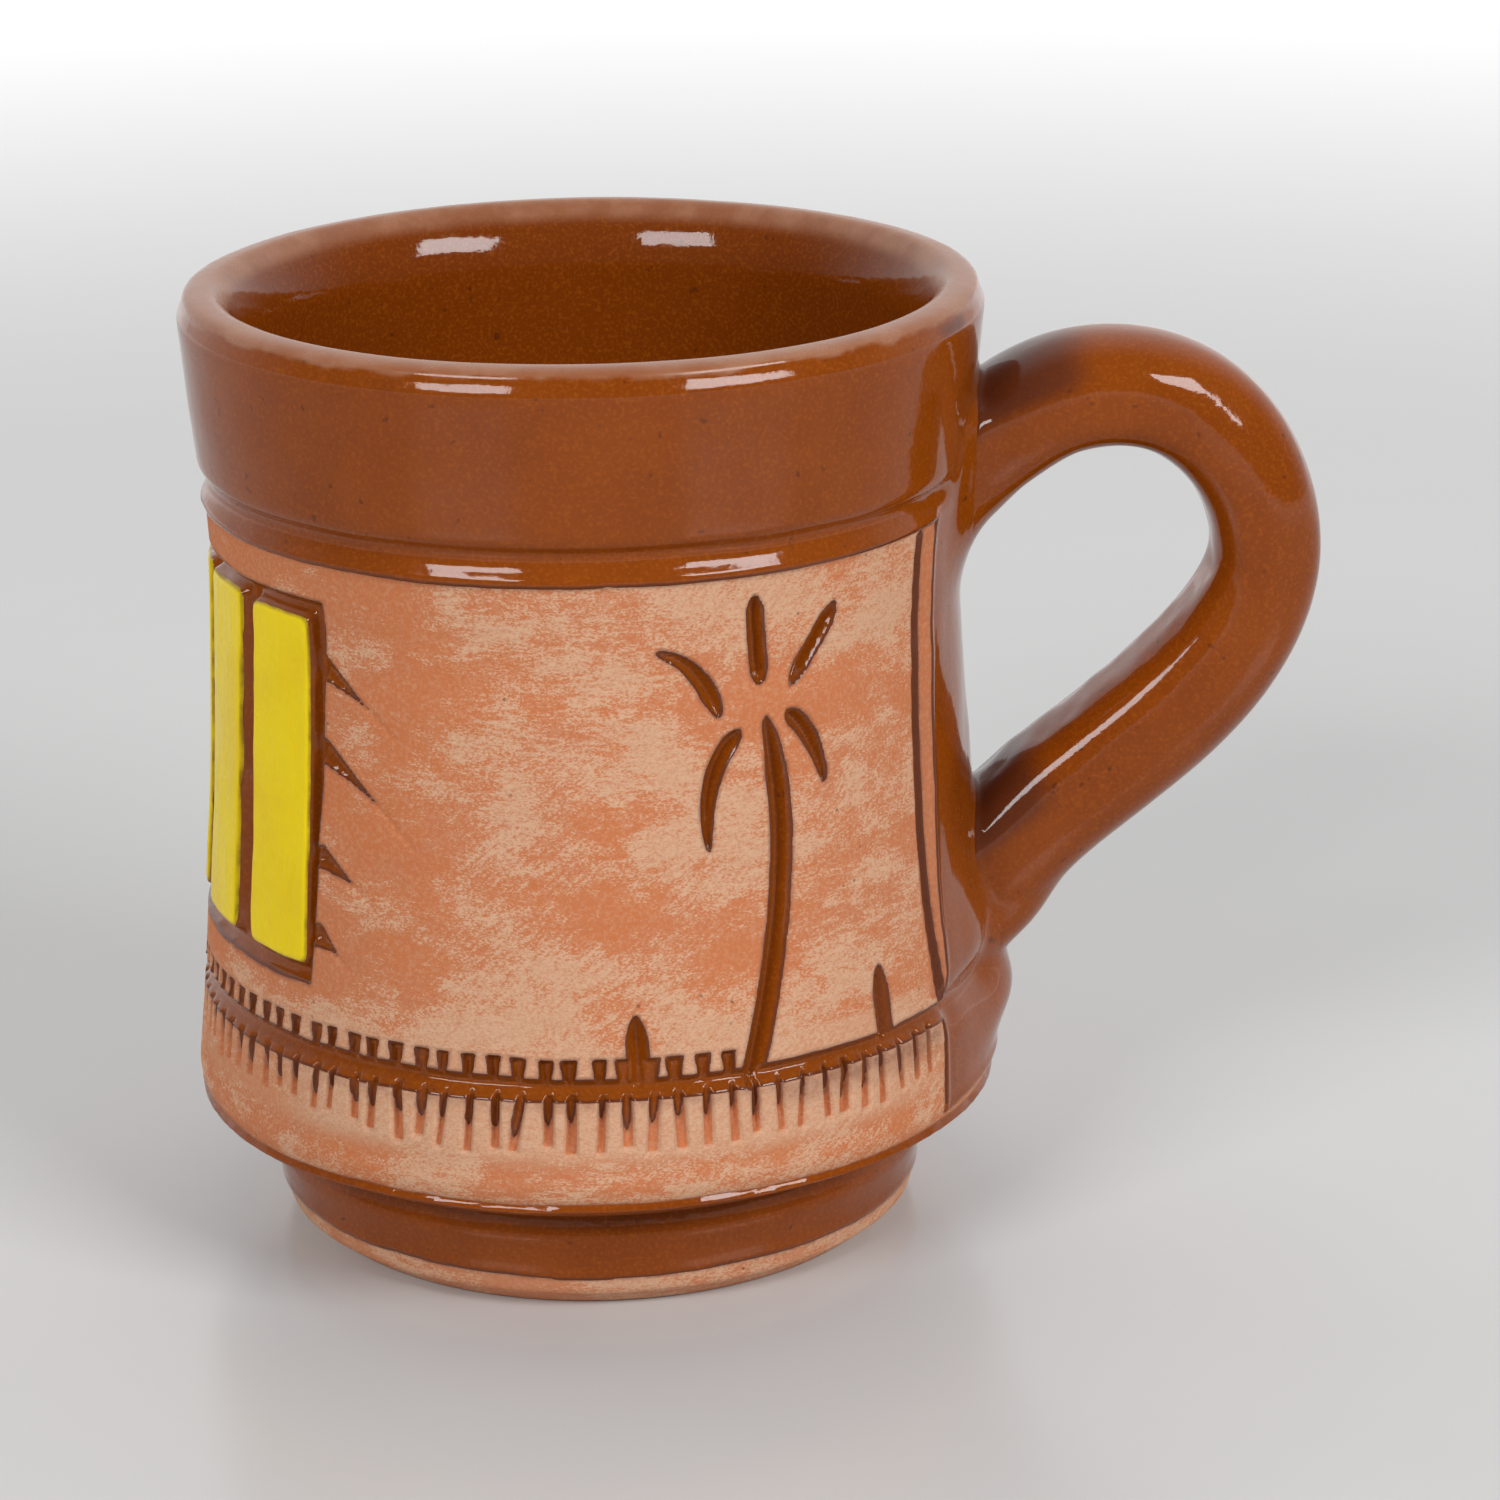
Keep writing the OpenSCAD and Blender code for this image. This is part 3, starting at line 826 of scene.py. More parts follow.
@dataclass
class GroundRing(Deposit):
    """Carved ring round the wall, with nicks above it and strokes below it from a toothed wheel."""

    node: str = "ground_ring_glaze"
    coat: float = 0.24
    settles: float = 0.5
    upper_z: float = 28.35
    upper_rise: float = 0.55
    lower_z: float = 26.25
    channel_d: float = 1.25
    pitch_a: float = 3.65
    phase_a: float = -0.3
    nick_h: float = 1.95
    nick_half: float = 0.46
    nick_spread: float = 0.14
    nick_d: float = 1.3
    nick_last_az: float = 20.0
    slope_h: float = 1.5
    stroke_half: float = 0.46
    stroke_end_z: float = 21.0
    stroke_d: float = 1.15
    stroke_end_d: float = 0.65
    pillow_h: float = 0.22
    stroke_last_az: float = 56.5
    dent_d: float = 1.1
    glazed_end_z: float = 23.7
    edge_out: float = 0.05
    glaze_taper: float = 1.9
    glaze_more: float = 1.6
    first_az: float = -235.0
    comb_low_z: float = 17.0
    comb_high_z: float = 34.0
    comb_half_a: float = 4.0
    behind_a: Point = (33.0, 28.0)
    dent_half: float = 1.8
    # Spans over which tones come in and go out again, as directions or heights
    raised: Places = ((8.0, -35.0), (-150.0, -110.0))
    front: Places = ((-54.0, -40.0), (60.0, 40.0))
    run_az: Places = ((22.0, 30.0), (59.0, 57.0))
    run_z: Places = ((22.6, 25.6), (27.6, 26.8))
    tops: Places = ((24.7, 26.4), (27.2, 26.7))
    plain_az: Places = ((-19.0, -29.0), (-140.0, -130.0))
    plain_low: Point = (31.0, 36.0)
    plain_wiped: float = 0.16
    upper_wave: Point = (0.12, 5.0)
    lower_wave: Point = (0.16, 6.0)
    edge_wave: Point = (0.07, 1.5)
    noise: SoftNoise = seeded(14)
    marks: dict[str, Array] = field(default_factory=dict)

    def _levels(self, wall: Wall) -> tuple[Array, Array]:
        """Edges of the channel.

        Args:
            wall: Grid over the pot.

        Returns:
            Height of the upper and of the lower edge.
        """
        left = span(*self.raised, wall.azz)
        upper = self.upper_z + self.upper_rise * left + self.noise.waves(wall.base, self.upper_wave)
        lower = self.lower_z + self.noise.waves(wall.base + 31.0, self.lower_wave)
        return upper, lower

    def _read(self, wall: Wall) -> None:
        """Work out channel, comb marks and tones once.

        Args:
            wall: Grid over the pot.
        """
        if self.marks:
            return
        upper, lower = self._levels(wall)
        slope = np.clip((wall.zz - lower + 0.1) / self.slope_h, 0.0, 1.0)
        cut = self.channel_d * np.minimum(slope, smooth(-0.1, 0.7, upper - wall.zz))
        cut = np.where(wall.on_wall, cut, 0.0)
        glazed = np.where(wall.on_wall, np.minimum(upper - wall.zz, wall.zz - lower), FAR_OUT)
        self._comb(wall, upper, lower, cut, glazed)
        behind = smooth(*self.behind_a, np.abs(turned_to(wall.azz, HANDLE_AZ)))
        dent = self.dent_d * bell(wall.zz - (self.upper_z + self.lower_z) / 2, self.dent_half)
        self.marks["cut"] = cut + (dent - cut) * behind * wall.on_wall
        self.marks["glazed"] = glazed
        self._tone(wall, upper, lower)

    def _comb(self, wall: Wall, upper: Array, lower: Array, cut: Array, glazed: Array) -> None:
        """Press the wheel's nicks and strokes beside the channel.

        Args:
            wall: Grid over the pot.
            upper: Upper edge of the channel at each point.
            lower: Lower edge of the channel at each point.
            cut: Depth of the carving, which the marks deepen.
            glazed: Signed distance inside the glaze, which the marks widen.
        """
        draw = np.random.default_rng(5)
        count = int((self.stroke_last_az - self.first_az) / self.pitch_a)
        rows = (wall.z > self.comb_low_z) & (wall.z < self.comb_high_z) & wall.on_wall[:, 0]
        for k in range(count + 1):
            az = self.first_az + (self.phase_a - self.first_az) % self.pitch_a + k * self.pitch_a
            az += draw.normal(0.0, 0.26)
            tooth = Tooth(
                wider=draw.normal(0.0, 0.08),
                shorter=draw.normal(0.0, 0.38),
                deep=draw.uniform(0.75, 1.1),
                slant=draw.normal(-0.05, 0.05),
                run=draw.normal(0.0, 0.45),
            )
            if az > self.stroke_last_az:
                continue
            window = np.ix_(rows, np.abs(turned_to(wall.az, az)) < self.comb_half_a)
            z, across = wall.zz[window], wall.across(az)[window]
            marks = [self._stroke(az, tooth, across, z, lower[window])]
            if az < self.nick_last_az:
                marks.append(self._nick(tooth, across, z - upper[window]))
            for depth, pool in marks:
                cut[window] = np.maximum(cut[window], depth)
                glazed[window] = np.maximum(glazed[window], pool)

    def _nick(self, tooth: Tooth, across: Array, up: Array) -> tuple[Array, Array]:
        """Nick over the channel.

        Args:
            tooth: Chance differences of the mark.
            across: Distance round the wall from its middle.
            up: Height over the channel.

        Returns:
            Its depth, and the signed distance inside its glaze.
        """
        half = self.nick_half + tooth.wider + self.nick_spread * up
        nick = np.minimum(np.minimum(half - np.abs(across), self.nick_h - up), up + 0.7)
        return tooth.deep * self.nick_d * smooth(-0.12, 0.38, nick), nick

    def _stroke(self, az: float, tooth: Tooth, across: Array, z: Array, top: Array) -> tuple[Array, Array]:
        """Stroke under the channel, glazed in its upper part.

        Args:
            az: Direction of the mark.
            tooth: Chance differences of the mark.
            across: Distance round the wall from its middle.
            z: Heights.
            top: Lower edge of the channel.

        Returns:
            Its depth, and the signed distance inside its glaze.
        """
        lift = 1.3 * smooth(-20.0, -48.0, np.array(az)) * (az > -110.0)
        end = self.stroke_end_z + lift + tooth.shorter
        down = top - z
        share = np.clip(down / (top - end), 0.0, 1.0)
        half = self.stroke_half + tooth.wider + 0.14 * share
        groove = np.minimum(half - np.abs(across - 0.3 - tooth.slant * down), z - end)
        groove = np.minimum(groove, down + 0.8)
        depth = tooth.deep * (self.stroke_d + (self.stroke_end_d - self.stroke_d) * share)
        glaze_end = self.glazed_end_z + tooth.run - self.glaze_more * smooth(24.0, 55.0, np.array(az))
        narrow = np.sqrt(np.clip((z - glaze_end) / self.glaze_taper, 0.0, 1.0))
        pool = np.minimum(0.75 * half * narrow - np.abs(across - 0.2 - tooth.slant * down), z - glaze_end)
        return depth * smooth(-0.12, 0.4, groove), np.minimum(pool, down + 0.8) - 0.03

    def _tone(self, wall: Wall, upper: Array, lower: Array) -> None:
        """Note where the wheel pushed clay up, left buff slip or spread a stain.

        Args:
            wall: Grid over the pot.
            upper: Upper edge of the channel at each point.
            lower: Lower edge of the channel at each point.
        """
        z, az = wall.zz, wall.azz
        below = smooth(self.stroke_end_z - 2.3, self.stroke_end_z + 0.4, z) * smooth(0.2, -0.1, z - lower)
        above = smooth(self.nick_h + 1.3, self.nick_h + 0.3, z - upper) * smooth(-0.2, 0.1, z - upper)
        front = span(*self.front, az)
        run_down = span(*self.run_az, az) * span(*self.run_z, z)
        tops = span(*self.tops, z) * front
        plain = span(*self.plain_az, az) * smooth(*self.plain_low, z)
        slip = np.maximum(below, 0.8 * above) * (0.35 + 0.65 * front) - self.plain_wiped * plain
        self.marks["pillow"] = np.where(wall.on_wall, self.pillow_h * below * front, 0.0)
        self.marks["buff"] = np.where(wall.on_wall, slip, 0.0)
        self.marks["stain"] = np.where(wall.on_wall, np.maximum(run_down, 0.75 * tops), 0.0)

    def carve(self, wall: Wall) -> Array:
        """Channel, nicks and strokes."""
        self._read(wall)
        return self.marks["cut"]

    def swell(self, wall: Wall) -> Array:
        """Clay pushed up between the strokes."""
        self._read(wall)
        return self.marks["pillow"]

    def tones(self) -> dict[str, Array]:
        """Where the wheel left buff slip on the clay, and where thin glaze stained it."""
        return {name: self.marks[name] for name in ("buff", "stain")}

    def cover(self, wall: Wall) -> Array:
        """Glaze in the channel and nicks, and in the upper part of the strokes."""
        self._read(wall)
        return self.marks["glazed"] + self.edge_out + self.noise.waves(wall.base, self.edge_wave)


@dataclass
class CarvedStrokes(Deposit):
    """Glaze pooled in a group of carved strokes."""

    node: str = ""
    strokes: tuple[Stroke, ...] = ()
    edge_out: float = 0.04
    edge_wave: Point = (0.06, 1.4)
    noise: SoftNoise = seeded(15)

    def carve(self, wall: Wall) -> Array:
        """All strokes, the deepest counting where they cross."""
        return np.max([s.cut(wall) for s in self.strokes], axis=0)

    def cover(self, wall: Wall) -> Array:
        """Glaze in each stroke, up to a slightly uneven edge."""
        reach = np.max([s.reach(wall) for s in self.strokes], axis=0)
        return reach + self.edge_out + self.noise.waves(wall.base, self.edge_wave)


@dataclass
class Palm:
    """Palm of carved strokes round a crown, its trunk standing on the ring."""

    frond_half: float = 0.95
    trunk_half: float = 1.22
    trunk_deeper: float = 1.1
    trunk_tip: float = 0.16
    depth: float = 1.5
    blade_half: float = 1.12
    blade_tip: float = 0.35
    # Azimuth and height of places on each stroke, and for fronds how much of tip and root narrows to a point
    trunk: Places = ((26.0, 63.6), (27.7, 56.4), (27.8, 48.4), (25.4, 37.9), (21.5, 27.2))
    fronds: tuple[tuple[Places, float, float], ...] = (
        (((24.5, 76.0), (24.9, 71.5), (25.4, 66.9)), 0.16, 0.16),
        (((38.6, 73.7), (34.5, 70.1), (30.4, 66.4)), 0.20, 0.25),
        (((9.6, 71.2), (15.0, 69.0), (18.8, 64.2)), 0.75, 0.22),
        (((16.6, 50.8), (17.9, 58.9), (22.0, 62.6)), 0.60, 0.14),
        (((35.8, 55.8), (33.6, 60.5), (29.4, 63.7)), 0.50, 0.14),
    )
    blades: tuple[Places, ...] = (((5.1, 34.7), (5.5, 27.6)), ((44.0, 35.3), (44.9, 27.8)))

    def deposits(self) -> list[Deposit]:
        """Trunk, fronds and grass as separate pools of glaze.

        Returns:
            The three pools.
        """
        trunk = Stroke(self.trunk, self.trunk_half, self.depth * self.trunk_deeper, tip=self.trunk_tip)
        fronds = tuple(Stroke(p, self.frond_half, self.depth, tip, tail) for p, tip, tail in self.fronds)
        blades = tuple(Stroke(p, self.blade_half, self.depth, tip=self.blade_tip) for p in self.blades)
        return [
            CarvedStrokes("palm_trunk_glaze", (trunk,)),
            CarvedStrokes("palm_frond_glaze", fronds),
            CarvedStrokes("grass_glaze", blades),
        ]


@dataclass
class TileFrieze(Deposit):
    """Row of upright tiles left standing in a sunk, glazed border."""

    node: str = "frieze_border_glaze"
    middle_az: float = -90.0
    half_a: float = 44.4
    border_a: float = 3.2
    count: int = 5
    gap_a: float = 4.5
    low_z: float = 36.8
    high_z: float = 72.0
    border_h: float = 2.2
    sunk: float = 1.4
    lean_spread: float = 0.012
    end_spread: float = 0.35
    taper_spread: float = 0.008
    corner_off: float = 0.2
    corner_half: float = 0.5
    tile_out: float = 0.15
    tile_waves: Places = ((0.20, 5.0), (0.08, 1.5))
    field_waves: Places = ((0.22, 6.0), (0.07, 1.7))
    noise: SoftNoise = seeded(16)
    found: dict[str, Array] = field(default_factory=dict)

    def tiles(self, wall: Wall) -> Array:
        """Signed distance inside the nearest tile, with hand-cut edges.

        Args:
            wall: Grid over the pot.

        Returns:
            Signed distance in mm at each point.
        """
        if "tiles" in self.found:
            return self.found["tiles"]
        draw = np.random.default_rng(8)
        tile_a = (2 * self.half_a - (self.count - 1) * self.gap_a) / self.count
        wave = self.noise.waves(wall.base, *self.tile_waves)
        up = wall.zz - (self.low_z + self.high_z) / 2
        nearest = np.full(wall.zz.shape, FAR_OUT)
        for k in range(self.count):
            az = self.middle_az - self.half_a + tile_a / 2 + k * (tile_a + self.gap_a)
            lean = draw.normal(0, self.lean_spread)
            top, bottom = draw.normal(0, self.end_spread), draw.normal(0, self.end_spread)
            half = math.radians(tile_a / 2) * wall.shape.waist_r + self.tile_out
            half = half + draw.normal(0, self.taper_spread) * up
            side = half - np.abs(wall.across(az) - lean * up)
            level = np.minimum(wall.zz - self.low_z - bottom, self.high_z + top - wall.zz)
            corner = np.minimum(side, level) - self.corner_off * bell(side - level, self.corner_half)
            nearest = np.maximum(nearest, corner + wave)
        self.found["tiles"] = np.where(wall.on_wall, nearest, FAR_OUT)
        return self.found["tiles"]

    def sunk_field(self, wall: Wall) -> Array:
        """Signed distance inside the whole sunk field.

        Args:
            wall: Grid over the pot.

        Returns:
            Signed distance in mm at each point.
        """
        half = math.radians(self.half_a + self.border_a) * wall.shape.waist_r
        wave = self.noise.waves(wall.base + 17.0, *self.field_waves)
        side = half - np.abs(wall.across(self.middle_az))
        level = np.minimum(wall.zz - self.low_z + self.border_h, self.high_z + self.border_h - wall.zz)
        return np.where(wall.on_wall, np.minimum(side, level) + wave, FAR_OUT)

    def carve(self, wall: Wall) -> Array:
        """Border sunk round the tiles."""
        return self.sunk * smooth(-0.1, 0.5, np.minimum(self.sunk_field(wall), -self.tiles(wall)))

    def cover(self, wall: Wall) -> Array:
        """Glaze in the sunk border, drawn up against the tiles."""
        return np.minimum(self.sunk_field(wall) + 0.12, 0.25 - self.tiles(wall))


@dataclass
class TileEnamel(Deposit):
    """Yellow enamel brushed on the tiles."""

    frieze: TileFrieze = field(default_factory=TileFrieze)
    node: str = "yellow_tile_enamel"
    slot: str = "yellow_enamel"
    coat: float = 0.28

    def cover(self, wall: Wall) -> Array:
        """The tiles, stopping just short of their edges."""
        return self.frieze.tiles(wall) - 0.04


@dataclass
class HatchTicks:
    """Slanted ticks cut beside the frieze, each running out in a scratch."""

    half: float = 1.25
    depth: float = 1.1
    cut_share: float = 0.56
    point: float = 1.25
    scratch_half: float = 0.5
    # Azimuth and height where each tick starts, of its middle and where its scratch ends
    runs: tuple[Places, ...] = (
        ((-43.0, 67.9), (-35.0, 64.6), (-28.5, 61.0)),
        ((-42.6, 59.2), (-34.0, 55.4), (-26.2, 50.4)),
        ((-43.0, 48.2), (-37.5, 46.3), (-32.8, 43.9)),
        ((-43.4, 40.0), (-40.0, 38.6), (-37.0, 36.8)),
    )

    def deposit(self) -> Deposit:
        """The ticks, glazed over their first stretch.

        Returns:
            Their pools.
        """
        form = {"tail": self.cut_share, "end": self.cut_share, "point": self.point}
        form["whisker"] = self.scratch_half
        strokes = tuple(Stroke(run, self.half, self.depth, **form) for run in self.runs)
        return CarvedStrokes("hatch_tick_glaze", strokes)


class Meshes:
    """Mesh making from arrays."""

    @staticmethod
    def make(name: str, verts_mm: Array, faces: Sequence[Array], normals: Array | None) -> bpy.types.Object:
        """Make an object from vertices and faces.

        Args:
            name: Name of the piece.
            verts_mm: Vertices in mm.
            faces: Arrays of faces, each array holding faces of one size.
            normals: Shading normals per vertex, or None for plain smooth shading.

        Returns:
            The new object, linked to the scene.
        """
        mesh = bpy.data.meshes.new(name)
        loops = np.concatenate([f.ravel() for f in faces]).astype(np.int32)
        sizes = np.concatenate([np.full(len(f), f.shape[1]) for f in faces]).astype(np.int32)
        starts = np.concatenate([[0], np.cumsum(sizes)[:-1]]).astype(np.int32)
        mesh.vertices.add(len(verts_mm))
        mesh.vertices.foreach_set("co", (verts_mm * MM).astype(np.float32).ravel())
        mesh.loops.add(len(loops))
        mesh.loops.foreach_set("vertex_index", loops)
        mesh.polygons.add(len(sizes))
        mesh.polygons.foreach_set("loop_start", starts)
        mesh.update(calc_edges=True)
        mesh.polygons.foreach_set("use_smooth", np.ones(len(sizes), bool))
        mesh.validate()
        if normals is not None:
            mesh.normals_split_custom_set_from_vertices(normals.astype(np.float32).tolist())
        piece = bpy.data.objects.new(name, mesh)
        bpy.context.scene.collection.objects.link(piece)
        return piece

    @staticmethod
    def write(piece: bpy.types.Object, name: str, values: Array) -> None:
        """Store one value per vertex under a name that materials read."""
        layer = piece.data.attributes.new(name, "FLOAT", "POINT")
        layer.data.foreach_set("value", values.astype(np.float32).ravel())

    @staticmethod
    def quads(i: Array, j: Array, cols: int) -> Array:
        """Faces of cells, by row and column, of a grid that closes round its columns."""
        low, high, k = i * cols, (i + 1) * cols, (j + 1) % cols
        return np.stack([low + j, low + k, high + k, high + j], axis=-1).reshape(-1, 4)

    @staticmethod
    def tube(rows: int, cols: int) -> tuple[Array, Array]:
        """Faces of a closed tube, whose two end points come after its rings.

        Args:
            rows: Number of rings.
            cols: Number of points on each ring.

        Returns:
            Faces between the rings, and triangles of both ends.
        """
        i, j = np.meshgrid(np.arange(rows - 1), np.arange(cols), indexing="ij")
        ring = np.arange(cols)
        after = (ring + 1) % cols
        last, end = (rows - 1) * cols, rows * cols
        caps = np.concatenate([
            np.stack([np.full(cols, end), after, ring], axis=1),
            np.stack([np.full(cols, end + 1), last + ring, last + after], axis=1),
        ])
        return Meshes.quads(i, j, cols), caps

    @staticmethod
    def skin(
        name: str, places: Array, normals: Array, cells: Array, thick: float, values: dict[str, Array],
    ) -> bpy.types.Object:
        """Closed skin over some cells of a grid.

        Args:
            name: Name of the piece.
            places: Grid of top places in mm.
            normals: Grid of normals.
            cells: Mask of the grid's cells that belong to the piece.
            thick: Thickness of the skin, inward, in mm.
            values: Grids of values to store on the piece.

        Returns:
            The new object.
        """
        quads = Meshes.quads(*np.nonzero(cells), places.shape[1])
        used, local = np.unique(quads, return_inverse=True)
        quads = local.reshape(-1, 4)
        top, normal = places.reshape(-1, 3)[used], normals.reshape(-1, 3)[used]
        count = len(used)
        edges = np.concatenate([quads[:, [a, (a + 1) % 4]] for a in range(4)])
        code = np.sort(edges, axis=1) @ np.array([count, 1])
        _, first, times = np.unique(code, return_index=True, return_counts=True)
        rim = edges[first[times == 1]]
        walls = np.stack([rim[:, 1], rim[:, 0], rim[:, 0] + count, rim[:, 1] + count], axis=1)
        piece = Meshes.make(
            name,
            np.concatenate([top, top - thick * normal]),
            [quads, quads[:, ::-1] + count, walls],
            np.concatenate([normal, -normal]),
        )
        for key, grid in values.items():
            part = grid.reshape(-1)[used]
            Meshes.write(piece, key, np.concatenate([part, part]))
        return piece


class Finish(Enum):
    """Finishes of the mug."""

    BARE_CLAY = "bare_clay"
    BAND_GLAZE = "band_glaze"
    INSIDE_GLAZE = "inside_glaze"
    POOLED_GLAZE = "pooled_glaze"
    HANDLE_GLAZE = "handle_glaze"
    YELLOW_ENAMEL = "yellow_enamel"


class Graph:
    """Short words for building a node tree."""

    def __init__(self, tree: bpy.types.NodeTree) -> None:
        """Work on a tree."""
        self.tree = tree

    def node(
        self, kind: str, inputs: dict[str | int, object] | None = None, **settings: object,
    ) -> bpy.types.Node:
        """Add a node.

        Args:
            kind: Node type.
            inputs: Values or sockets for its inputs, by name or place.
            settings: Attributes to set on the node.

        Returns:
            The new node.
        """
        made = self.tree.nodes.new(kind)
        for key, value in settings.items():
            setattr(made, key, value)
        self.feed(made, inputs or {})
        return made

    def feed(self, node: bpy.types.Node, inputs: dict[str | int, object]) -> None:
        """Give a node's inputs their values or links.

        Args:
            node: Node to feed.
            inputs: Values or sockets for its inputs, by name or place.
        """
        for key, value in inputs.items():
            if isinstance(value, bpy.types.NodeSocket):
                self.tree.links.new(value, node.inputs[key])
            else:
                node.inputs[key].default_value = value

    def math(
        self, operation: str, a: object, b: object = 0.0, c: object = 0.0, clamp: bool = False,
    ) -> Socket:
        """Math on up to three values."""
        inputs = {0: a, 1: b, 2: c}
        return self.node("ShaderNodeMath", inputs, operation=operation, use_clamp=clamp).outputs[0]

    def ramp(self, value: object, low: object, high: object, start: float = 0.0, end: float = 1.0) -> Socket:
        """Smooth step of a value between two others."""
        inputs = {"Value": value, "From Min": low, "From Max": high, "To Min": start, "To Max": end}
        return self.node("ShaderNodeMapRange", inputs, interpolation_type="SMOOTHSTEP").outputs[0]

    @staticmethod
    def _rgba(value: Colour | Socket) -> object:
        """Plain colour with its alpha, and a socket as it is."""
        return (*value, 1.0) if isinstance(value, tuple) else value

    def blend(self, share: Socket, a: Colour | Socket, b: Colour | Socket) -> Socket:
        """Mix of two colours."""
        inputs = {0: share, 6: self._rgba(a), 7: self._rgba(b)}
        return self.node("ShaderNodeMix", inputs, data_type="RGBA", clamp_factor=True).outputs[2]

    def tint(self, colour: Colour | Socket, mask: Socket, strength: float, other: Colour | Socket) -> Socket:
        """Colour turned toward another where a mask is, by its strength."""
        return self.blend(self.math("MULTIPLY", mask, strength), colour, other)

    def weighed(self, a: Socket, a_share: float, b: Socket, b_share: float) -> Socket:
        """Sum of two values, each with its share."""
        return self.math("MULTIPLY_ADD", a, a_share, self.math("MULTIPLY", b, b_share))

    def number_mix(self, share: Socket, a: Socket, b: Socket) -> Socket:
        """Mix of two values."""
        return self.node("ShaderNodeMix", {0: share, 2: a, 3: b}, data_type="FLOAT").outputs[0]

    def noise(self, place: Socket, scale: object, detail: float = 3.0, rough: float = 0.55) -> Socket:
        """Noise value at a place."""
        inputs = {"Vector": place, "Scale": scale, "Detail": detail, "Roughness": rough}
        return self.node("ShaderNodeTexNoise", inputs).outputs[0]

    def place(self) -> Socket:
        """Place on the object, in metres."""
        return self.node("ShaderNodeTexCoord").outputs["Object"]

    def stored(self, name: str) -> Socket:
        """Value stored on the piece's vertices."""
        return self.node("ShaderNodeAttribute", attribute_name=name).outputs["Fac"]


class Effects:
    """Shader groups that several finishes share, by name."""

    groups: ClassVar[dict[str, bpy.types.NodeTree]] = {}

    @classmethod
    def build(cls) -> None:
        """Build each group once."""
        drawn = {"Scale": 120.0, "Flat": 7.0, "Low": 0.45, "High": 0.6}
        cls._group("speckle", {"Scale": 1500.0, "Low": 0.55, "High": 0.75}, cls._speckle)
        cls._group("mottle", {"Scale": 60.0, "Low": 0.3, "High": 0.7}, cls._mottle)
        cls._group("streaks", drawn, cls._streaks)
        cls._group("slanted", drawn, cls._slanted)
        cls._group("pits", {"Scale": 260.0, "Size": 0.12}, cls._pits)

    @classmethod
    def _group(
        cls, name: str, inputs: dict[str, float], fill: Callable[[Graph, dict[str, Socket]], Socket],
    ) -> None:
        """Make a group with float inputs and one mask.

        Args:
            name: Name of the group.
            inputs: Names and starting values of its inputs.
            fill: Builds the inside and returns the mask.
        """
        tree = bpy.data.node_groups.new(name, "ShaderNodeTree")
        for key, value in inputs.items():
            socket = tree.interface.new_socket(name=key, in_out="INPUT", socket_type="NodeSocketFloat")
            socket.default_value = value
        tree.interface.new_socket(name="Mask", in_out="OUTPUT", socket_type="NodeSocketFloat")
        graph = Graph(tree)
        entry = graph.node("NodeGroupInput")
        mask = fill(graph, {key: entry.outputs[key] for key in inputs})
        graph.node("NodeGroupOutput", {"Mask": mask})
        cls.groups[name] = tree

    @staticmethod
    def _speckle(graph: Graph, given: dict[str, Socket]) -> Socket:
        """Fine grains, a step of a small noise."""
        grain = graph.noise(graph.place(), given["Scale"], 2.0, 0.6)
        return graph.ramp(grain, given["Low"], given["High"])

    @staticmethod
    def _mottle(graph: Graph, given: dict[str, Socket]) -> Socket:
        """Soft cloudy change over the surface."""
        cloud = graph.noise(graph.place(), given["Scale"], 5.0, 0.6)
        return graph.ramp(cloud, given["Low"], given["High"])

    @staticmethod
    def _drawn(graph: Graph, given: dict[str, Socket], place: Socket) -> Socket:
        """Marks drawn level at a place, flatter than they are long.

        Args:
            graph: Tree of the group.
            given: Inputs of the group.
            place: Where to read the marks.

        Returns:
            The mask.
        """
        scale = graph.node("ShaderNodeCombineXYZ", {0: 1.0, 1: 1.0, 2: given["Flat"]}).outputs[0]
        place = graph.node("ShaderNodeMapping", {"Vector": place, "Scale": scale}).outputs[0]
        line = graph.noise(place, given["Scale"], 4.0, 0.65)
        return graph.ramp(line, given["Low"], given["High"])

    @staticmethod
    def _streaks(graph: Graph, given: dict[str, Socket]) -> Socket:
        """Marks drawn round the pot."""
        return Effects._drawn(graph, given, graph.place())

    @staticmethod
    def _slanted(graph: Graph, given: dict[str, Socket]) -> Socket:
        """Marks drawn aslant, as by a brush turned on the way."""
        inputs = {"Vector": graph.place(), "Rotation": (0.0, 0.75, 0.0)}
        return Effects._drawn(graph, given, graph.node("ShaderNodeMapping", inputs).outputs[0])

    @staticmethod
    def _pits(graph: Graph, given: dict[str, Socket]) -> Socket:
        """Sparse round pinholes.

        Args:
            graph: Tree of the group.
            given: Inputs of the group.

        Returns:
            The mask.
        """
        inputs = {"Vector": graph.place(), "Scale": given["Scale"], "Randomness": 1.0}
        gap = graph.node("ShaderNodeTexVoronoi", inputs).outputs["Distance"]
        chance = graph.noise(graph.place(), 90.0, 1.0, 0.5)
        few = graph.ramp(chance, 0.55, 0.7)
        half = graph.math("MULTIPLY", given["Size"], 0.5)
        return graph.math("MULTIPLY", graph.ramp(gap, given["Size"], half), few)


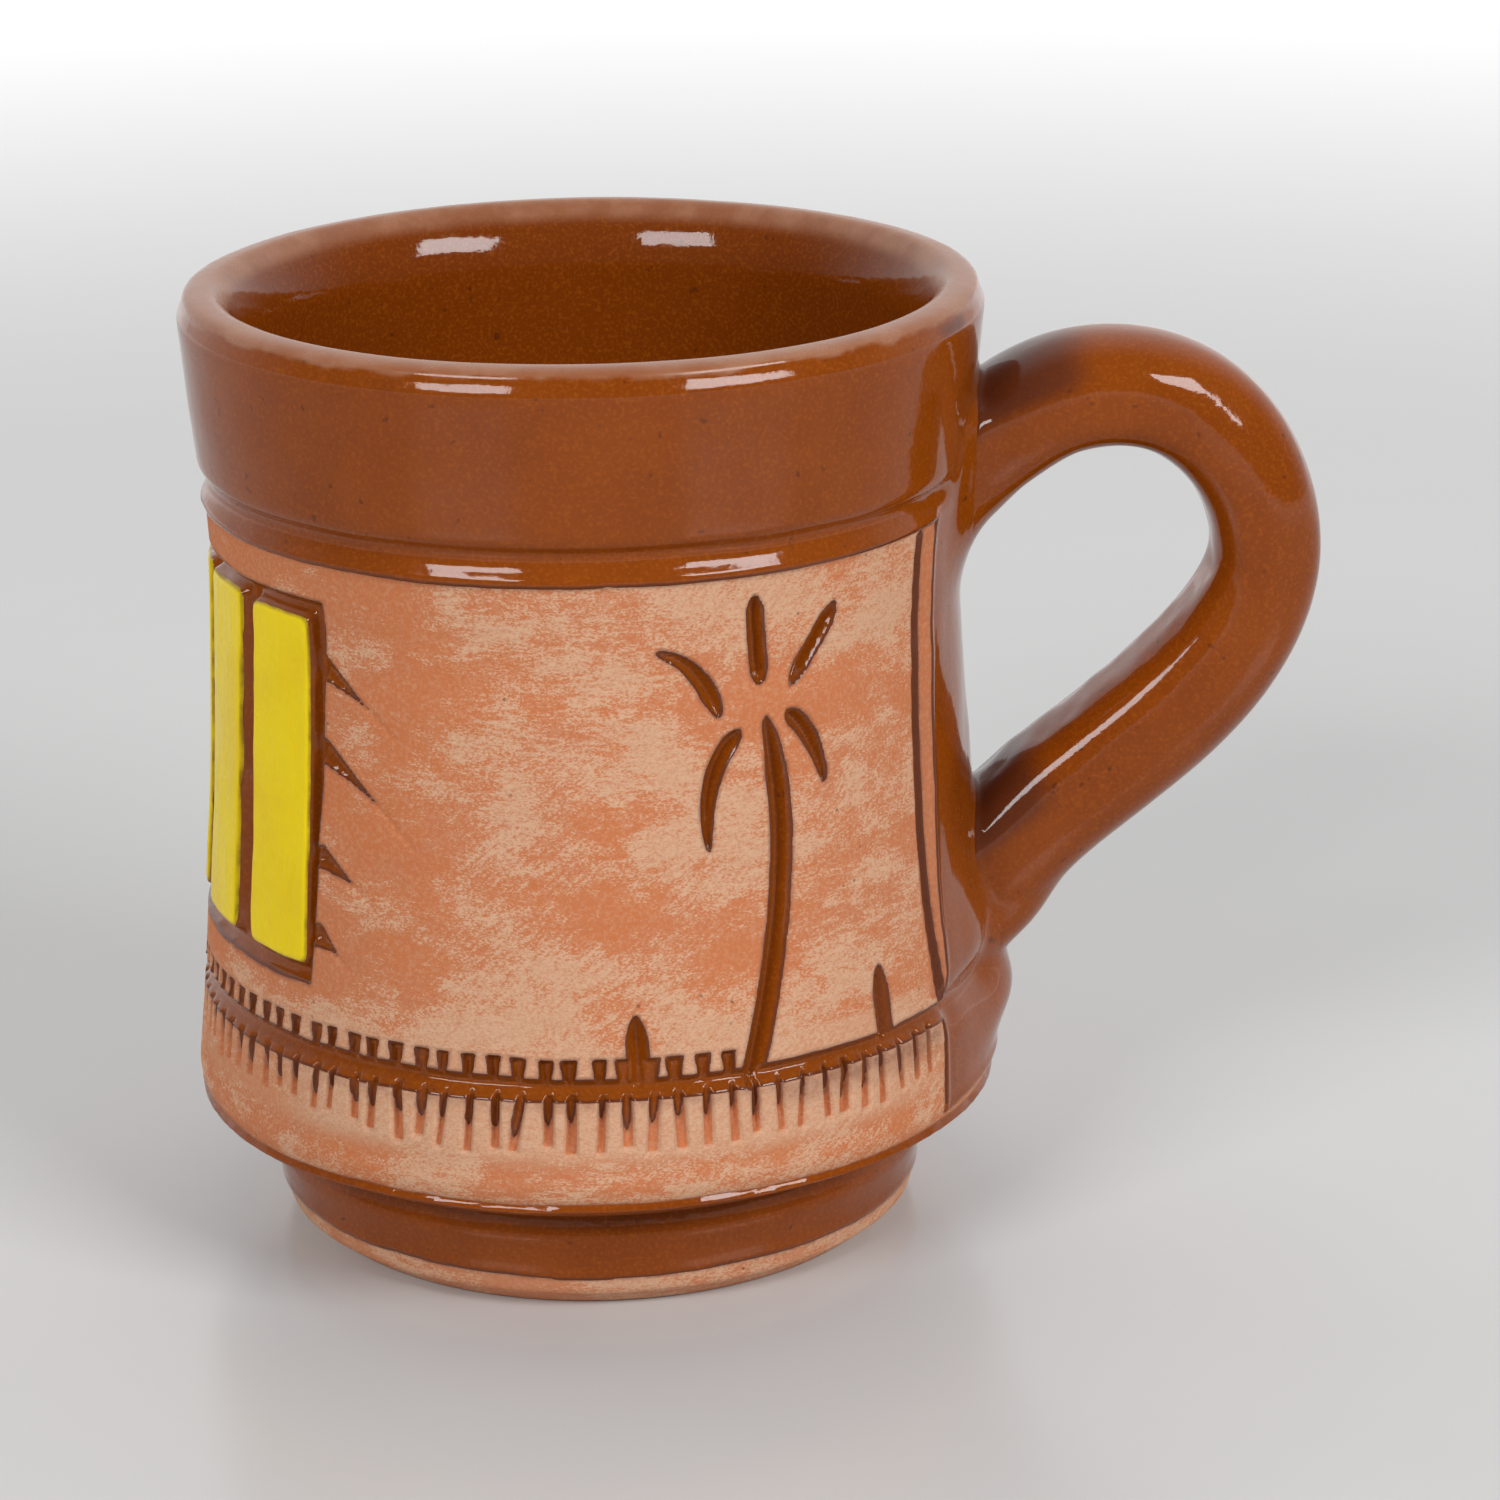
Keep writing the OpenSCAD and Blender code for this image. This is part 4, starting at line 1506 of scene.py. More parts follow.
class Surface(Graph):
    """Material with one shader, and the words for building its nodes."""

    def __init__(self, name: str, shine: float) -> None:
        """Start a material.

        Args:
            name: Name of the material.
            shine: Level of its reflection.
        """
        self.material = bpy.data.materials.new(name)
        self.material.use_nodes = True
        super().__init__(self.material.node_tree)
        self.shader = self.tree.nodes["Principled BSDF"]
        self.set(Specular_IOR_Level=shine)

    def set(self, **inputs: object) -> None:
        """Give the shader's inputs, named with _ for spaces, their values or links."""
        self.feed(self.shader, {name.replace("_", " "): value for name, value in inputs.items()})

    def mask(self, effect: str, *values: float) -> Socket:
        """Mask of a shared effect, given the values of its inputs in their order."""
        group = Effects.groups[effect]
        return self.node("ShaderNodeGroup", dict(enumerate(values)), node_tree=group).outputs["Mask"]

    def bump(self, height: Socket, strength: float, deep: float) -> Socket:
        """Normals of a height of the given depth in metres."""
        inputs = {"Height": height, "Strength": strength, "Distance": deep}
        return self.node("ShaderNodeBump", inputs).outputs[0]


@dataclass(frozen=True)
class GlazeLook:
    """Glossy amber glaze over clay: clouded, speckled, darker along its edges and in painted shade at the
    handle's roots, worn on the lip.
    """

    name: str
    amber: Colour = (0.255, 0.053, 0.003)
    deep: Colour = (0.165, 0.030, 0.0016)
    bright: Colour = (0.44, 0.115, 0.009)
    dark_speck: Colour = (0.050, 0.012, 0.003)
    # Dark colour along the glaze's edges, also used for the painted shade at the handle's roots
    edge: Colour = (0.075, 0.020, 0.012)
    thin: Colour = (0.25, 0.082, 0.040)
    worn: Colour = (0.36, 0.160, 0.088)
    roughness: float = 0.06
    shine: float = 0.26
    edge_width: float = 0.5
    cloud: float = 0.5
    grain_share: float = 0.3
    grain_dull: float = 0.05
    speck_share: float = 0.55
    edge_and_shade_share: float = 0.72
    worn_dull: float = 0.22
    # Depth of coat at which the glaze is full and at which it is thin
    thin_depth: Point = (0.10, 0.03)

    def material(self) -> bpy.types.Material:
        """Build the material.

        Returns:
            The material.
        """
        surface = Surface(self.name, self.shine)
        mottle = surface.mask("mottle", 70.0, 0.3, 0.72)
        colour = surface.tint(self.amber, mottle, self.cloud, self.deep)
        grain = surface.mask("speckle", 2600.0, 0.45, 0.75)
        colour = surface.tint(colour, grain, self.grain_share, self.bright)
        dark = surface.mask("speckle", 620.0, 0.68, 0.76)
        colour = surface.tint(colour, dark, self.speck_share, self.dark_speck)
        thin = surface.ramp(surface.stored("depth"), *self.thin_depth)
        ragged = surface.mask("mottle", 420.0, 0.25, 0.75)
        thin = surface.math("MULTIPLY", thin, surface.ramp(ragged, 0.0, 0.7, 0.45, 1.0))
        colour = surface.blend(thin, colour, self.thin)
        # The edge value darkens the glaze along its edges and also carries the painted shade in the corners
        # at the handle's roots
        edge = surface.ramp(surface.stored("edge"), self.edge_width, 0.05)
        colour = surface.tint(colour, edge, self.edge_and_shade_share, self.edge)
        patchy = surface.mask("mottle", 160.0, 0.3, 0.7)
        patchy = surface.ramp(patchy, 0.0, 1.0, 0.55, 1.0)
        worn = surface.math("MULTIPLY", surface.stored("wear"), patchy, clamp=True)
        colour = surface.blend(worn, colour, self.worn)
        dull = surface.math("MULTIPLY_ADD", grain, self.grain_dull, self.roughness)
        rough = surface.math("MULTIPLY_ADD", worn, self.worn_dull, dull)
        ripple = surface.noise(surface.place(), 190.0, 2.0, 0.5)
        peel = surface.noise(surface.place(), 1100.0, 2.0, 0.5)
        normal = surface.bump(surface.weighed(ripple, 1.0, peel, 0.16), 0.35, 0.00022)
        surface.set(Base_Color=colour, Roughness=rough, Normal=normal)
        return surface.material


@dataclass(frozen=True)
class ClayLook:
    """Matte terracotta with a wiped buff film, orange smears, pinholes and stained glaze edges."""

    name: str = "bare_terracotta"
    clay: Colour = (0.550, 0.186, 0.078)
    orange: Colour = (0.566, 0.180, 0.068)
    rose: Colour = (0.520, 0.188, 0.096)
    buff: Colour = (0.655, 0.392, 0.252)
    buff_dark: Colour = (0.580, 0.290, 0.165)
    grain: Colour = (0.66, 0.42, 0.27)
    pit: Colour = (0.10, 0.034, 0.018)
    stain: Colour = (0.175, 0.066, 0.045)
    shine: float = 0.15
    rose_share: float = 0.6
    film_share: float = 0.95
    grain_share: float = 0.24
    dust_share: float = 0.4
    pit_share: float = 0.6
    halo_share: float = 0.75
    stain_share: float = 0.6

    def material(self) -> bpy.types.Material:
        """Build the material.

        Returns:
            The material.
        """
        surface = Surface(self.name, self.shine)
        smear = surface.mask("mottle", 34.0, 0.38, 0.62)
        colour = surface.blend(smear, self.clay, self.orange)
        rose = surface.mask("mottle", 75.0, 0.50, 0.72)
        colour = surface.tint(colour, rose, self.rose_share, self.rose)
        lines = self._brushed(surface)
        film = self._film(surface, lines)
        tone = surface.blend(surface.ramp(lines, 0.25, 0.7), self.buff_dark, self.buff)
        colour = surface.tint(colour, film, self.film_share, tone)
        grain = surface.mask("speckle", 2300.0, 0.42, 0.7)
        colour = surface.tint(colour, grain, self.grain_share, self.grain)
        dust = surface.mask("speckle", 1900.0, 0.58, 0.75)
        colour = surface.tint(colour, dust, self.dust_share, self.rose)
        pits = surface.mask("pits", 520.0, 0.12)
        colour = surface.tint(colour, pits, self.pit_share, self.pit)
        halo = self._halo(surface)
        colour = surface.blend(halo, colour, self.stain)
        fine = surface.noise(surface.place(), 1500.0, 3.0, 0.6)
        height = surface.math("SUBTRACT", surface.math("MULTIPLY_ADD", lines, 0.5, fine), pits)
        rough = surface.ramp(halo, 0.0, 1.0, 0.8, 0.45)
        surface.set(Base_Color=colour, Roughness=rough, Normal=surface.bump(height, 0.5, 0.00018))
        return surface.material

    @staticmethod
    def _brushed(surface: Surface) -> Socket:
        """Fine grain crossed by the lines of a brush, which turns from place to place.

        Args:
            surface: Material in the making.

        Returns:
            Height of the lines.
        """
        level = surface.mask("streaks", 3000.0, 1.8, 0.2, 0.8)
        slanted = surface.mask("slanted", 480.0, 5.0, 0.2, 0.8)
        swept = surface.mask("streaks", 420.0, 5.0, 0.2, 0.8)
        turn = surface.mask("mottle", 40.0, 0.47, 0.56)
        return surface.weighed(level, 0.62, surface.number_mix(turn, swept, slanted), 0.38)

    @staticmethod
    def _film(surface: Surface, lines: Socket) -> Socket:
        """Patches of buff slip along the brushed lines, wiped off or left where the piece says so.

        Args:
            surface: Material in the making.
            lines: Height of the brushed lines.

        Returns:
            Mask of the slip.
        """
        patch = surface.mask("streaks", 70.0, 1.7, 0.25, 0.75)
        film = surface.weighed(lines, 0.56, patch, 0.44)
        wiped = surface.math("MINIMUM", surface.stored("buff"), 0.0)
        film = surface.ramp(surface.math("ADD", film, wiped), 0.42, 0.58)
        film = surface.math("MAXIMUM", film, surface.stored("buff"))
        whole = surface.ramp(surface.stored("cut"), 0.06, 0.22, 1.0, 0.0)
        return surface.math("MULTIPLY", film, whole, clamp=True)

    def _halo(self, surface: Surface) -> Socket:
        """Broken stain beside the glaze and where it ran thin.

        Args:
            surface: Material in the making.

        Returns:
            Mask of the stain.
        """
        broken = surface.mask("mottle", 640.0, 0.3, 0.7)
        beside = surface.math("MULTIPLY", surface.ramp(surface.stored("edge"), -0.5, 0.1), self.halo_share)
        thin = surface.math("MULTIPLY", surface.stored("stain"), self.stain_share)
        halo = surface.math("MAXIMUM", beside, thin)
        return surface.math("MULTIPLY", halo, surface.ramp(broken, 0.0, 1.0, 0.45, 1.0))


@dataclass(frozen=True)
class EnamelLook:
    """Opaque yellow enamel, brushed on unevenly."""

    name: str = "brushed_yellow"
    yellow: Colour = (0.880, 0.652, 0.0066)
    orange: Colour = (0.750, 0.474, 0.0088)
    thick: Colour = (0.850, 0.684, 0.015)
    edge: Colour = (0.240, 0.110, 0.010)
    shine: float = 0.12
    cloud_share: float = 0.4
    mark_share: float = 0.35
    grain_share: float = 0.25

    def material(self) -> bpy.types.Material:
        """Build the material.

        Returns:
            The material.
        """
        surface = Surface(self.name, self.shine)
        cloud = surface.mask("mottle", 80.0, 0.4, 0.7)
        colour = surface.tint(self.yellow, cloud, self.cloud_share, self.orange)
        marks = surface.mask("streaks", 420.0, 0.22, 0.42, 0.7)
        colour = surface.tint(colour, marks, self.mark_share, self.thick)
        grain = surface.mask("speckle", 1300.0, 0.62, 0.8)
        colour = surface.tint(colour, grain, self.grain_share, self.orange)
        ragged = surface.mask("mottle", 380.0, 0.2, 0.8)
        edge = surface.ramp(surface.stored("edge"), 0.4, 0.0)
        edge = surface.math("MULTIPLY", edge, surface.ramp(ragged, 0.0, 1.0, 0.4, 1.0))
        colour = surface.blend(edge, colour, self.edge)
        rough = surface.ramp(marks, 0.0, 1.0, 0.26, 0.42)
        fine = surface.noise(surface.place(), 700.0, 2.0, 0.5)
        height = surface.math("MULTIPLY_ADD", marks, 0.4, fine)
        surface.set(Base_Color=colour, Roughness=rough, Normal=surface.bump(height, 0.5, 0.0002))
        return surface.material


@dataclass
class Finishes:
    """All materials of the mug, by record slot."""

    made: dict[str, bpy.types.Material] = field(default_factory=dict)

    def build(self) -> "Finishes":
        """Make every material once.

        Returns:
            The finishes, ready to use.
        """
        Effects.build()
        # Darker amber for the inside glaze: painted shade of the hollow cup, on top of the shade the render
        # gives it
        inside: Colour = (0.185, 0.036, 0.0020)
        pooled: Colour = (0.25, 0.054, 0.003)
        looks = {
            Finish.BARE_CLAY: ClayLook(),
            Finish.BAND_GLAZE: GlazeLook("amber_band_glaze"),
            Finish.INSIDE_GLAZE: GlazeLook("amber_liner_glaze", amber=inside, roughness=0.05, cloud=0.4),
            Finish.POOLED_GLAZE: GlazeLook("pooled_glaze", amber=pooled, edge_width=0.35, cloud=0.4),
            Finish.HANDLE_GLAZE: GlazeLook("amber_handle_glaze"),
            Finish.YELLOW_ENAMEL: EnamelLook(),
        }
        for finish, look in looks.items():
            self.made[finish.value] = look.material()
        return self

    def dress(self, piece: bpy.types.Object, slot: str, *nodes: str) -> None:
        """Give a piece the material of its slot and its body, and hide and log the nodes it stands for.

        Args:
            piece: Piece to dress.
            slot: Record slot of its finish.
            nodes: CAD nodes that it replaces.
        """
        piece.data.materials.append(self.made[slot])
        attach(piece, ROOT)
        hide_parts(*nodes)
        LOG.info("%s stands for %s", piece.name, ", ".join(nodes))


@dataclass
class ThrownPot:
    """The thrown clay body and everything carved in it or laid over it."""

    wall: Wall
    finishes: Finishes
    strap: "EarHandle"
    wobble: Point = (0.26, 38.0)
    dents: Point = (0.06, 11.0)
    ripple: float = 0.07
    ripple_grain: float = 55.0
    ripple_flat: float = 16.0
    base_fade: float = 6.0
    skin_t: float = 0.45
    foot_bead: float = 0.50
    bead_in: float = 0.32
    bead_half: float = 0.24
    edge_run: float = 0.5
    edge_round: float = 0.7
    edge_bead: float = 0.05
    settle_passes: int = 4
    sink: float = 0.3
    sink_run: float = 0.9
    wear_from: Point = (-3.1, -2.6)
    wear_to: Point = (3.4, 1.6)
    wear_waves: Places = ((0.3, 3.0), (0.2, 1.0))
    flash_down: float = 4.1
    flash_half: float = 0.9
    flash_grain: float = 9.0
    strip_stain: float = 0.3
    foot_slip: float = 0.2
    noise: SoftNoise = seeded(3)
    pieces: dict[str, str] = field(default_factory=lambda: {
        "thrown_body": "thrown_pot",
        "liner_glaze": "liner_coat",
        "rim_band_glaze": "rim_band_coat",
        "foot_band_glaze": "foot_band_coat",
        "handle_panel_glaze": "handle_panel_coat",
        "ground_ring_glaze": "ground_ring_pool",
        "palm_trunk_glaze": "palm_trunk_pool",
        "palm_frond_glaze": "palm_frond_pools",
        "grass_glaze": "grass_pools",
        "frame_line_glaze": "frame_line_pools",
        "frieze_border_glaze": "frieze_border_pool",
        "hatch_tick_glaze": "hatch_tick_pools",
        "yellow_tile_enamel": "yellow_tiles",
    })

    def build(self) -> None:
        """Carve the clay, lay every coat and dress them."""
        wall = self.wall
        frieze, ring, panel = TileFrieze(), GroundRing(), HandlePanel()
        coats: list[Deposit] = [
            LinerCoat(), RimBand(), FootBand(), ring, *Palm().deposits(),
            FrameLines(), frieze, HatchTicks().deposit(), panel,
        ]
        covers = [coat.cover(wall) for coat in coats]
        relief, cut = self._relief(coats, covers)
        tones = ring.tones()
        strip = panel.bare_strip(wall)
        tones["buff"] = tones["buff"] - strip + self.foot_slip * (wall.ss < wall.ends["foot"])
        tones["stain"] = np.maximum(tones["stain"], self.strip_stain * strip)
        edge = np.clip(np.max(covers, axis=0), -4.0, 1.0)
        self._clay(relief, {"edge": edge, "cut": cut, **tones})
        self._glaze(relief, coats, covers)
        self._enamel(relief, TileEnamel(frieze))

    def _relief(self, coats: list[Deposit], covers: list[Array]) -> tuple[Array, Array]:
        """Carve the thrown clay, let it sink under its coats and raise it into the handle.

        Args:
            coats: Everything carved or laid on the wall.
            covers: Signed distance inside each of them.

        Returns:
            Height of the clay, and how deep it is cut.
        """
        thrown = self._thrown()
        relief = thrown + sum(coat.swell(self.wall) for coat in coats)
        relief = relief - np.max([coat.carve(self.wall) for coat in coats], axis=0)
        cut = thrown - relief
        sunk = np.max([cover for coat, cover in zip(coats, covers) if coat.sinks], axis=0)
        relief = relief - self.sink * smooth(0.0, self.sink_run, sunk)
        glazed = relief + self.sink * smooth(0.0, self.sink_run, np.max(covers, axis=0))
        return relief + self.strap.rise(glazed), cut

    def _glaze(self, relief: Array, coats: list[Deposit], covers: list[Array]) -> None:
        """Lay all glaze as one film and cut it into its pieces.

        Args:
            relief: Height of the clay.
            coats: The coats, liner and rim band first.
            covers: Signed distance inside each coat.
        """
        wall = self.wall
        reach = np.max(covers, axis=0)
        owner = np.argmax(covers, axis=0)
        for first in (1, 0):
            owner = np.where(covers[first] > 0, first, owner)
        thick, settles, full = np.array([(c.coat, c.settles, c.fullness) for c in coats]).T[:, owner]
        top = self._film(relief, reach, thick, settles)
        on_foot = np.array([isinstance(coat, FootBand) for coat in coats])[owner]
        bead = self.foot_bead * bell(reach - self.bead_in, self.bead_half)
        top = top + bead * (on_foot & (wall.ss > wall.ends["ridge"]))
        shared = self._values(top, relief, np.minimum(reach, full))
        places, normals = self._placed(top, reach)
        film = self._cells(reach)
        for k, coat in enumerate(coats):
            own = film & (owner[:-1] == k)
            piece = Meshes.skin(self.pieces[coat.node], places, normals, own, self.skin_t, shared)
            self.finishes.dress(piece, coat.slot, coat.node)

    def _enamel(self, relief: Array, enamel: TileEnamel) -> None:
        """Lay the enamel on the tiles.

        Args:
            relief: Height of the clay.
            enamel: The coat.
        """
        cover = enamel.cover(self.wall)
        top = self._film(relief, cover, enamel.coat, enamel.settles)
        places, normals = self._placed(top, cover)
        values = self._values(top, relief, cover)
        name = self.pieces[enamel.node]
        piece = Meshes.skin(name, places, normals, self._cells(cover), self.skin_t, values)
        self.finishes.dress(piece, enamel.slot, enamel.node)

    def _thrown(self) -> Array:
        """Uneven height of a surface turned by hand.

        Returns:
            Height in mm at each point.
        """
        base = self.wall.base
        big = self.noise.waves(base, self.wobble) + self.noise.waves(base + 50.0, self.dents)
        rings = self.ripple * self.noise.at(base + 90.0, self.ripple_grain, self.ripple_flat)
        return smooth(0.0, self.base_fade, self.wall.zz) * (big + rings)

    def _film(self, relief: Array, reach: Array, thick: float | Array, settles: float | Array) -> Array:
        """Top of a coat: level with the clay at its edge, rounded up and smoothed inside it.

        Args:
            relief: Height of the clay.
            reach: Signed distance inside the coat.
            thick: Thickness of the coat.
            settles: Share by which it levels out hollows and edges.

        Returns:
            Height of the coat's top.
        """
        rise = np.clip(reach / self.edge_round, 0.0, 1.0)
        coat = thick * np.sqrt(1.0 - (1.0 - rise) ** 2) + self.edge_bead * bell(reach - 0.55, 0.35)
        coat = np.where(reach < 0, 0.4 * reach, coat)
        settled = Wall.softened(relief, self.settle_passes)
        pooled = settles * smooth(0.0, 0.6, reach) * (settled - relief) + coat
        return relief + np.where(reach > 0, np.maximum(pooled, 0.35 * coat), coat)

    def _values(self, top: Array, relief: Array, reach: Array) -> dict[str, Array]:
        """Values that the glaze and enamel materials read.

        Args:
            top: Height of the coat.
            relief: Height of the clay.
            reach: Signed distance inside the coat.

        Returns:
            Grids of values, by name.
        """
        wall = self.wall
        past_crest = wall.ss - wall.ends["lip_outside"]
        ragged = self.noise.waves(wall.base, *self.wear_waves)
        wear = smooth(*self.wear_from, past_crest + ragged) * smooth(*self.wear_to, past_crest)
        under_belly = (wall.ss > wall.ends["ridge"]) & (wall.ss < wall.ends["belly"])
        edge = np.where(under_belly, np.maximum(reach, 2.0), reach)
        patchy = smooth(0.1, 0.6, self.noise.at(wall.base + 17.0, self.flash_grain))
        flashed = bell(past_crest + self.flash_down, self.flash_half) * patchy
        edge = np.where(flashed > 0.02, np.minimum(edge, 0.5 - 0.45 * flashed), edge)
        return {"edge": np.clip(edge, -1.0, 4.0), "depth": np.clip(top - relief, -1.0, 3.0), "wear": wear}

    def _cells(self, reach: Array) -> Array:
        """Cells of the grid that a coat covers, with a little to spare under the clay."""
        right = np.roll(reach, -1, axis=1)
        return (reach[:-1] + reach[1:] + right[:-1] + right[1:]) / 4 > -self.edge_run

    def _placed(self, top: Array, reach: Array) -> tuple[Array, Array]:
        """Places and normals of a coat, its outermost points drawn onto one smooth line.

        Args:
            top: Height of the coat.
            reach: Signed distance inside it.

        Returns:
            Places and normals, rows by columns by 3.
        """
        wall = self.wall
        places = wall.points(top)
        normals = wall.normals(places)
        cells = np.pad(self._cells(reach), ((1, 1), (0, 0)))
        around = [cells[:-1], cells[1:], np.roll(cells, 1, axis=1)[:-1], np.roll(cells, 1, axis=1)[1:]]
        count = np.sum(around, axis=0)
        rim = (count > 0) & (count < 4) & (reach < 0)
        step_s = np.gradient(wall.s)[:, None]
        step_u = np.gradient(np.unwrap(np.radians(wall.az)))[None, :] * wall.r[:, None]
        slope_s = np.gradient(reach, axis=0) / step_s
        slope_u = (np.roll(reach, -1, 1) - np.roll(reach, 1, 1)) / (2 * step_u)
        steep = np.maximum(slope_s**2 + slope_u**2, 0.3)
        move = np.clip(reach + self.edge_run, -0.45, 0.45) / steep * rim
        along = np.gradient(places, axis=0)
        along /= np.maximum(np.linalg.norm(along, axis=-1, keepdims=True), 1e-9)
        round_it = np.cross(along, normals)
        places = places - (move * slope_s)[..., None] * along - (move * slope_u)[..., None] * round_it
        return places, normals

    def _clay(self, relief: Array, values: dict[str, Array]) -> None:
        """Clay body as one closed solid, with fewer rows where a coat hides it.

        Args:
            relief: Height of the clay.
            values: Grids of values that its material reads.
        """
        wall = self.wall
        places = wall.points(relief)
        normals = wall.normals(places)
        hidden = wall.ss[:, 0] > wall.row_at(wall.shape.band_z + 1.0, "belly")
        keep = ~hidden | (np.arange(wall.s.size) % 4 == 0)
        keep[[0, -1]] = True
        places, normals = places[keep], normals[keep]
        poles = np.array([[0.0, 0.0, places[0, :, 2].mean()], [0.0, 0.0, places[-1, :, 2].mean()]])
        verts = np.concatenate([places.reshape(-1, 3), poles])
        shading = np.concatenate([normals.reshape(-1, 3), [[0, 0, -1.0], [0, 0, 1.0]]])
        piece = Meshes.make(self.pieces["thrown_body"], verts, Meshes.tube(*places.shape[:2]), shading)
        for name, grid in values.items():
            rows_kept = grid[keep]
            Meshes.write(piece, name, np.concatenate([rows_kept.ravel(), rows_kept[[0, -1], 0]]))
        self.finishes.dress(piece, "bare_clay", "thrown_body")


@dataclass
class EarHandle:
    """Pulled strap, oval in section, smeared onto the wall at both roots."""

    wall: Wall
    finishes: Finishes
    strap_w: float = 15.0
    strap_t: float = 11.8
    strap_fat: float = 1.6
    strap_out: float = 29.6
    root_top_up: float = 3.6
    root_top_a: float = 34.0
    top_run: float = 24.0
    reach_drop: float = 12.0
    drop_run: float = 12.0
    root_low_up: float = 9.2
    root_low_a: float = 35.5
    low_run: float = 14.0
    root_flare: float = 1.6
    flare_share: float = 0.16
    squareness: float = 0.84
    rings: int = 300
    sides: int = 88
    into_wall: float = 7.0
    embedded: float = 2.4
    web_above: float = 1.2
    # Fillets at the upper and the lower root
    web_side: Point = (4.5, 1.4)
    web_below: Point = (6.5, 9.0)
    web_turn: Point = (0.0, -0.4)
    pressed_d: float = 1.1
    pressed_a: float = -60.0
    pressed_half_a: float = 36.0
    # Share of the strap's length from each root over which painted shade darkens the glaze
    painted_shade_share: float = 0.15
    fillet_rounds: int = 8
    fillet_pace: float = 0.75
    wall_past: float = 1.25
    strap_past: float = 1.0
    inner_square: float = 0.62
    neck: float = 1.1
    lumps: Point = (0.28, 15.0)
    small_lumps: Point = (0.04, 5.5)
    rough_inside: Point = (0.14, 2.6)
    joins_low_z: float = 14.0
    joins_under_rim: float = 5.0
    joins_half_a: float = 40.0
    noise: SoftNoise = seeded(21)
    LINE_POINTS: ClassVar[int] = 1200
    END_POINTS: ClassVar[int] = 30

    def _roots(self) -> Places:
        """Radius and height of the middle of the upper and the lower root."""
        shape, low_z = self.wall.shape, self.wall.shape.ring_z + self.root_low_up
        return (shape.waist_r, shape.band_z + self.root_top_up), (float(shape.wall_radius(low_z)), low_z)

    def _middle(self) -> tuple[Array, Array]:
        """Draw the strap's middle line.

        Returns:
            Places in the plane of the handle, and shares of the strap's length.
        """
        top, low = (np.array(root) for root in self._roots())
        reach = self.wall.shape.lip_r + self.strap_out
        outmost = np.array([reach, top[1] - self.reach_drop])
        upper = [top, top + self.top_run * heading(self.root_top_a), np.array([reach, top[1]]), outmost]
        lower = [outmost, outmost - [0.0, self.drop_run], low + self.low_run * heading(self.root_low_a), low]
        share = np.linspace(0.0, 1.0, self.LINE_POINTS)
        arms = cubic(upper, np.clip(2 * share, 0, 1)), cubic(lower, np.clip(2 * share - 1, 0, 1))
        line = np.where((share < 0.5)[:, None], *arms)
        first = (line[1] - line[0]) / np.linalg.norm(line[1] - line[0])
        last = (line[-1] - line[-2]) / np.linalg.norm(line[-1] - line[-2])
        inward = np.linspace(self.into_wall, 0.0, self.END_POINTS, endpoint=False)[:, None]
        line = np.concatenate([line[0] - inward * first, line, (line[-1] + inward * last)[::-1]])
        share = np.concatenate([np.zeros(self.END_POINTS), share, np.ones(self.END_POINTS)])
        return line, share

    def __post_init__(self) -> None:
        """Sweep the bare strap."""
        line, share = self._middle()
        along = travel(line)
        where = along[-1] * (1.0 - np.cos(np.linspace(0.0, math.pi, self.rings))) / 2
        middle = sampled(where, along, line)
        share = np.interp(where, along, share)
        direction = np.gradient(middle, where, axis=0)
        direction /= np.linalg.norm(direction, axis=1)[:, None]
        turn = np.linspace(0.0, 2 * math.pi, self.sides, endpoint=False)
        power = np.where(np.cos(turn) < 0, self.inner_square, self.squareness)
        out, side = squarer(np.cos(turn), power), squarer(np.sin(turn), power)
        upward = np.where((share > 0.5)[:, None], -out, out)
        half_t, half_w = self._halves(share, upward)
        flat = np.zeros(self.rings)
        normal = np.stack([-direction[:, 1], flat, direction[:, 0]], axis=1)
        centre = np.stack([middle[:, 0], flat, middle[:, 1]], axis=1)
        arm = (half_t * out)[..., None] * normal[:, None, :] + (half_w * side)[..., None] * [0.0, 1.0, 0.0]
        self.away = arm / np.linalg.norm(arm, axis=-1, keepdims=True)
        places = centre[:, None, :] + arm
        self.places = places + self._handled(places, share, turn, out)[..., None] * self.away
        # Painted shade: the glaze darkens near both roots on the side turned into the corner with the wall,
        # where shade falls
        near_root = smooth(self.painted_shade_share, 0.08, np.minimum(share, 1.0 - share))
        self.shade = smooth(-0.1, 0.6, upward) * near_root[:, None]
        self.tree = BVHTree.FromPolygons(self.places.reshape(-1, 3).tolist(), self._faces()[0].tolist())

    def _halves(self, share: Array, upward: Array) -> tuple[Array, Array]:
        """Half-sizes of the strap's section, which swells into both roots.

        Args:
            share: Share of the strap's length at each ring.
            upward: How far each point of a ring faces up.

        Returns:
            Half-thickness at each point, and half-width at each ring.
        """
        ends = [1 - smooth(0, self.flare_share, part) for part in (share, 1 - share)]
        near_root = (ends[0] ** 2 + ends[1] ** 2)[:, None]
        thick = self.strap_t + self.strap_fat * smooth(0.5, 0.75, share)
        flare = self.root_flare * near_root * smooth(0.3, -0.7, upward)
        half_t = thick[:, None] / 2 + flare - self.neck * near_root * smooth(0.1, 0.8, upward)
        return half_t, self.strap_w / 2 + 0.5 * self.root_flare * near_root

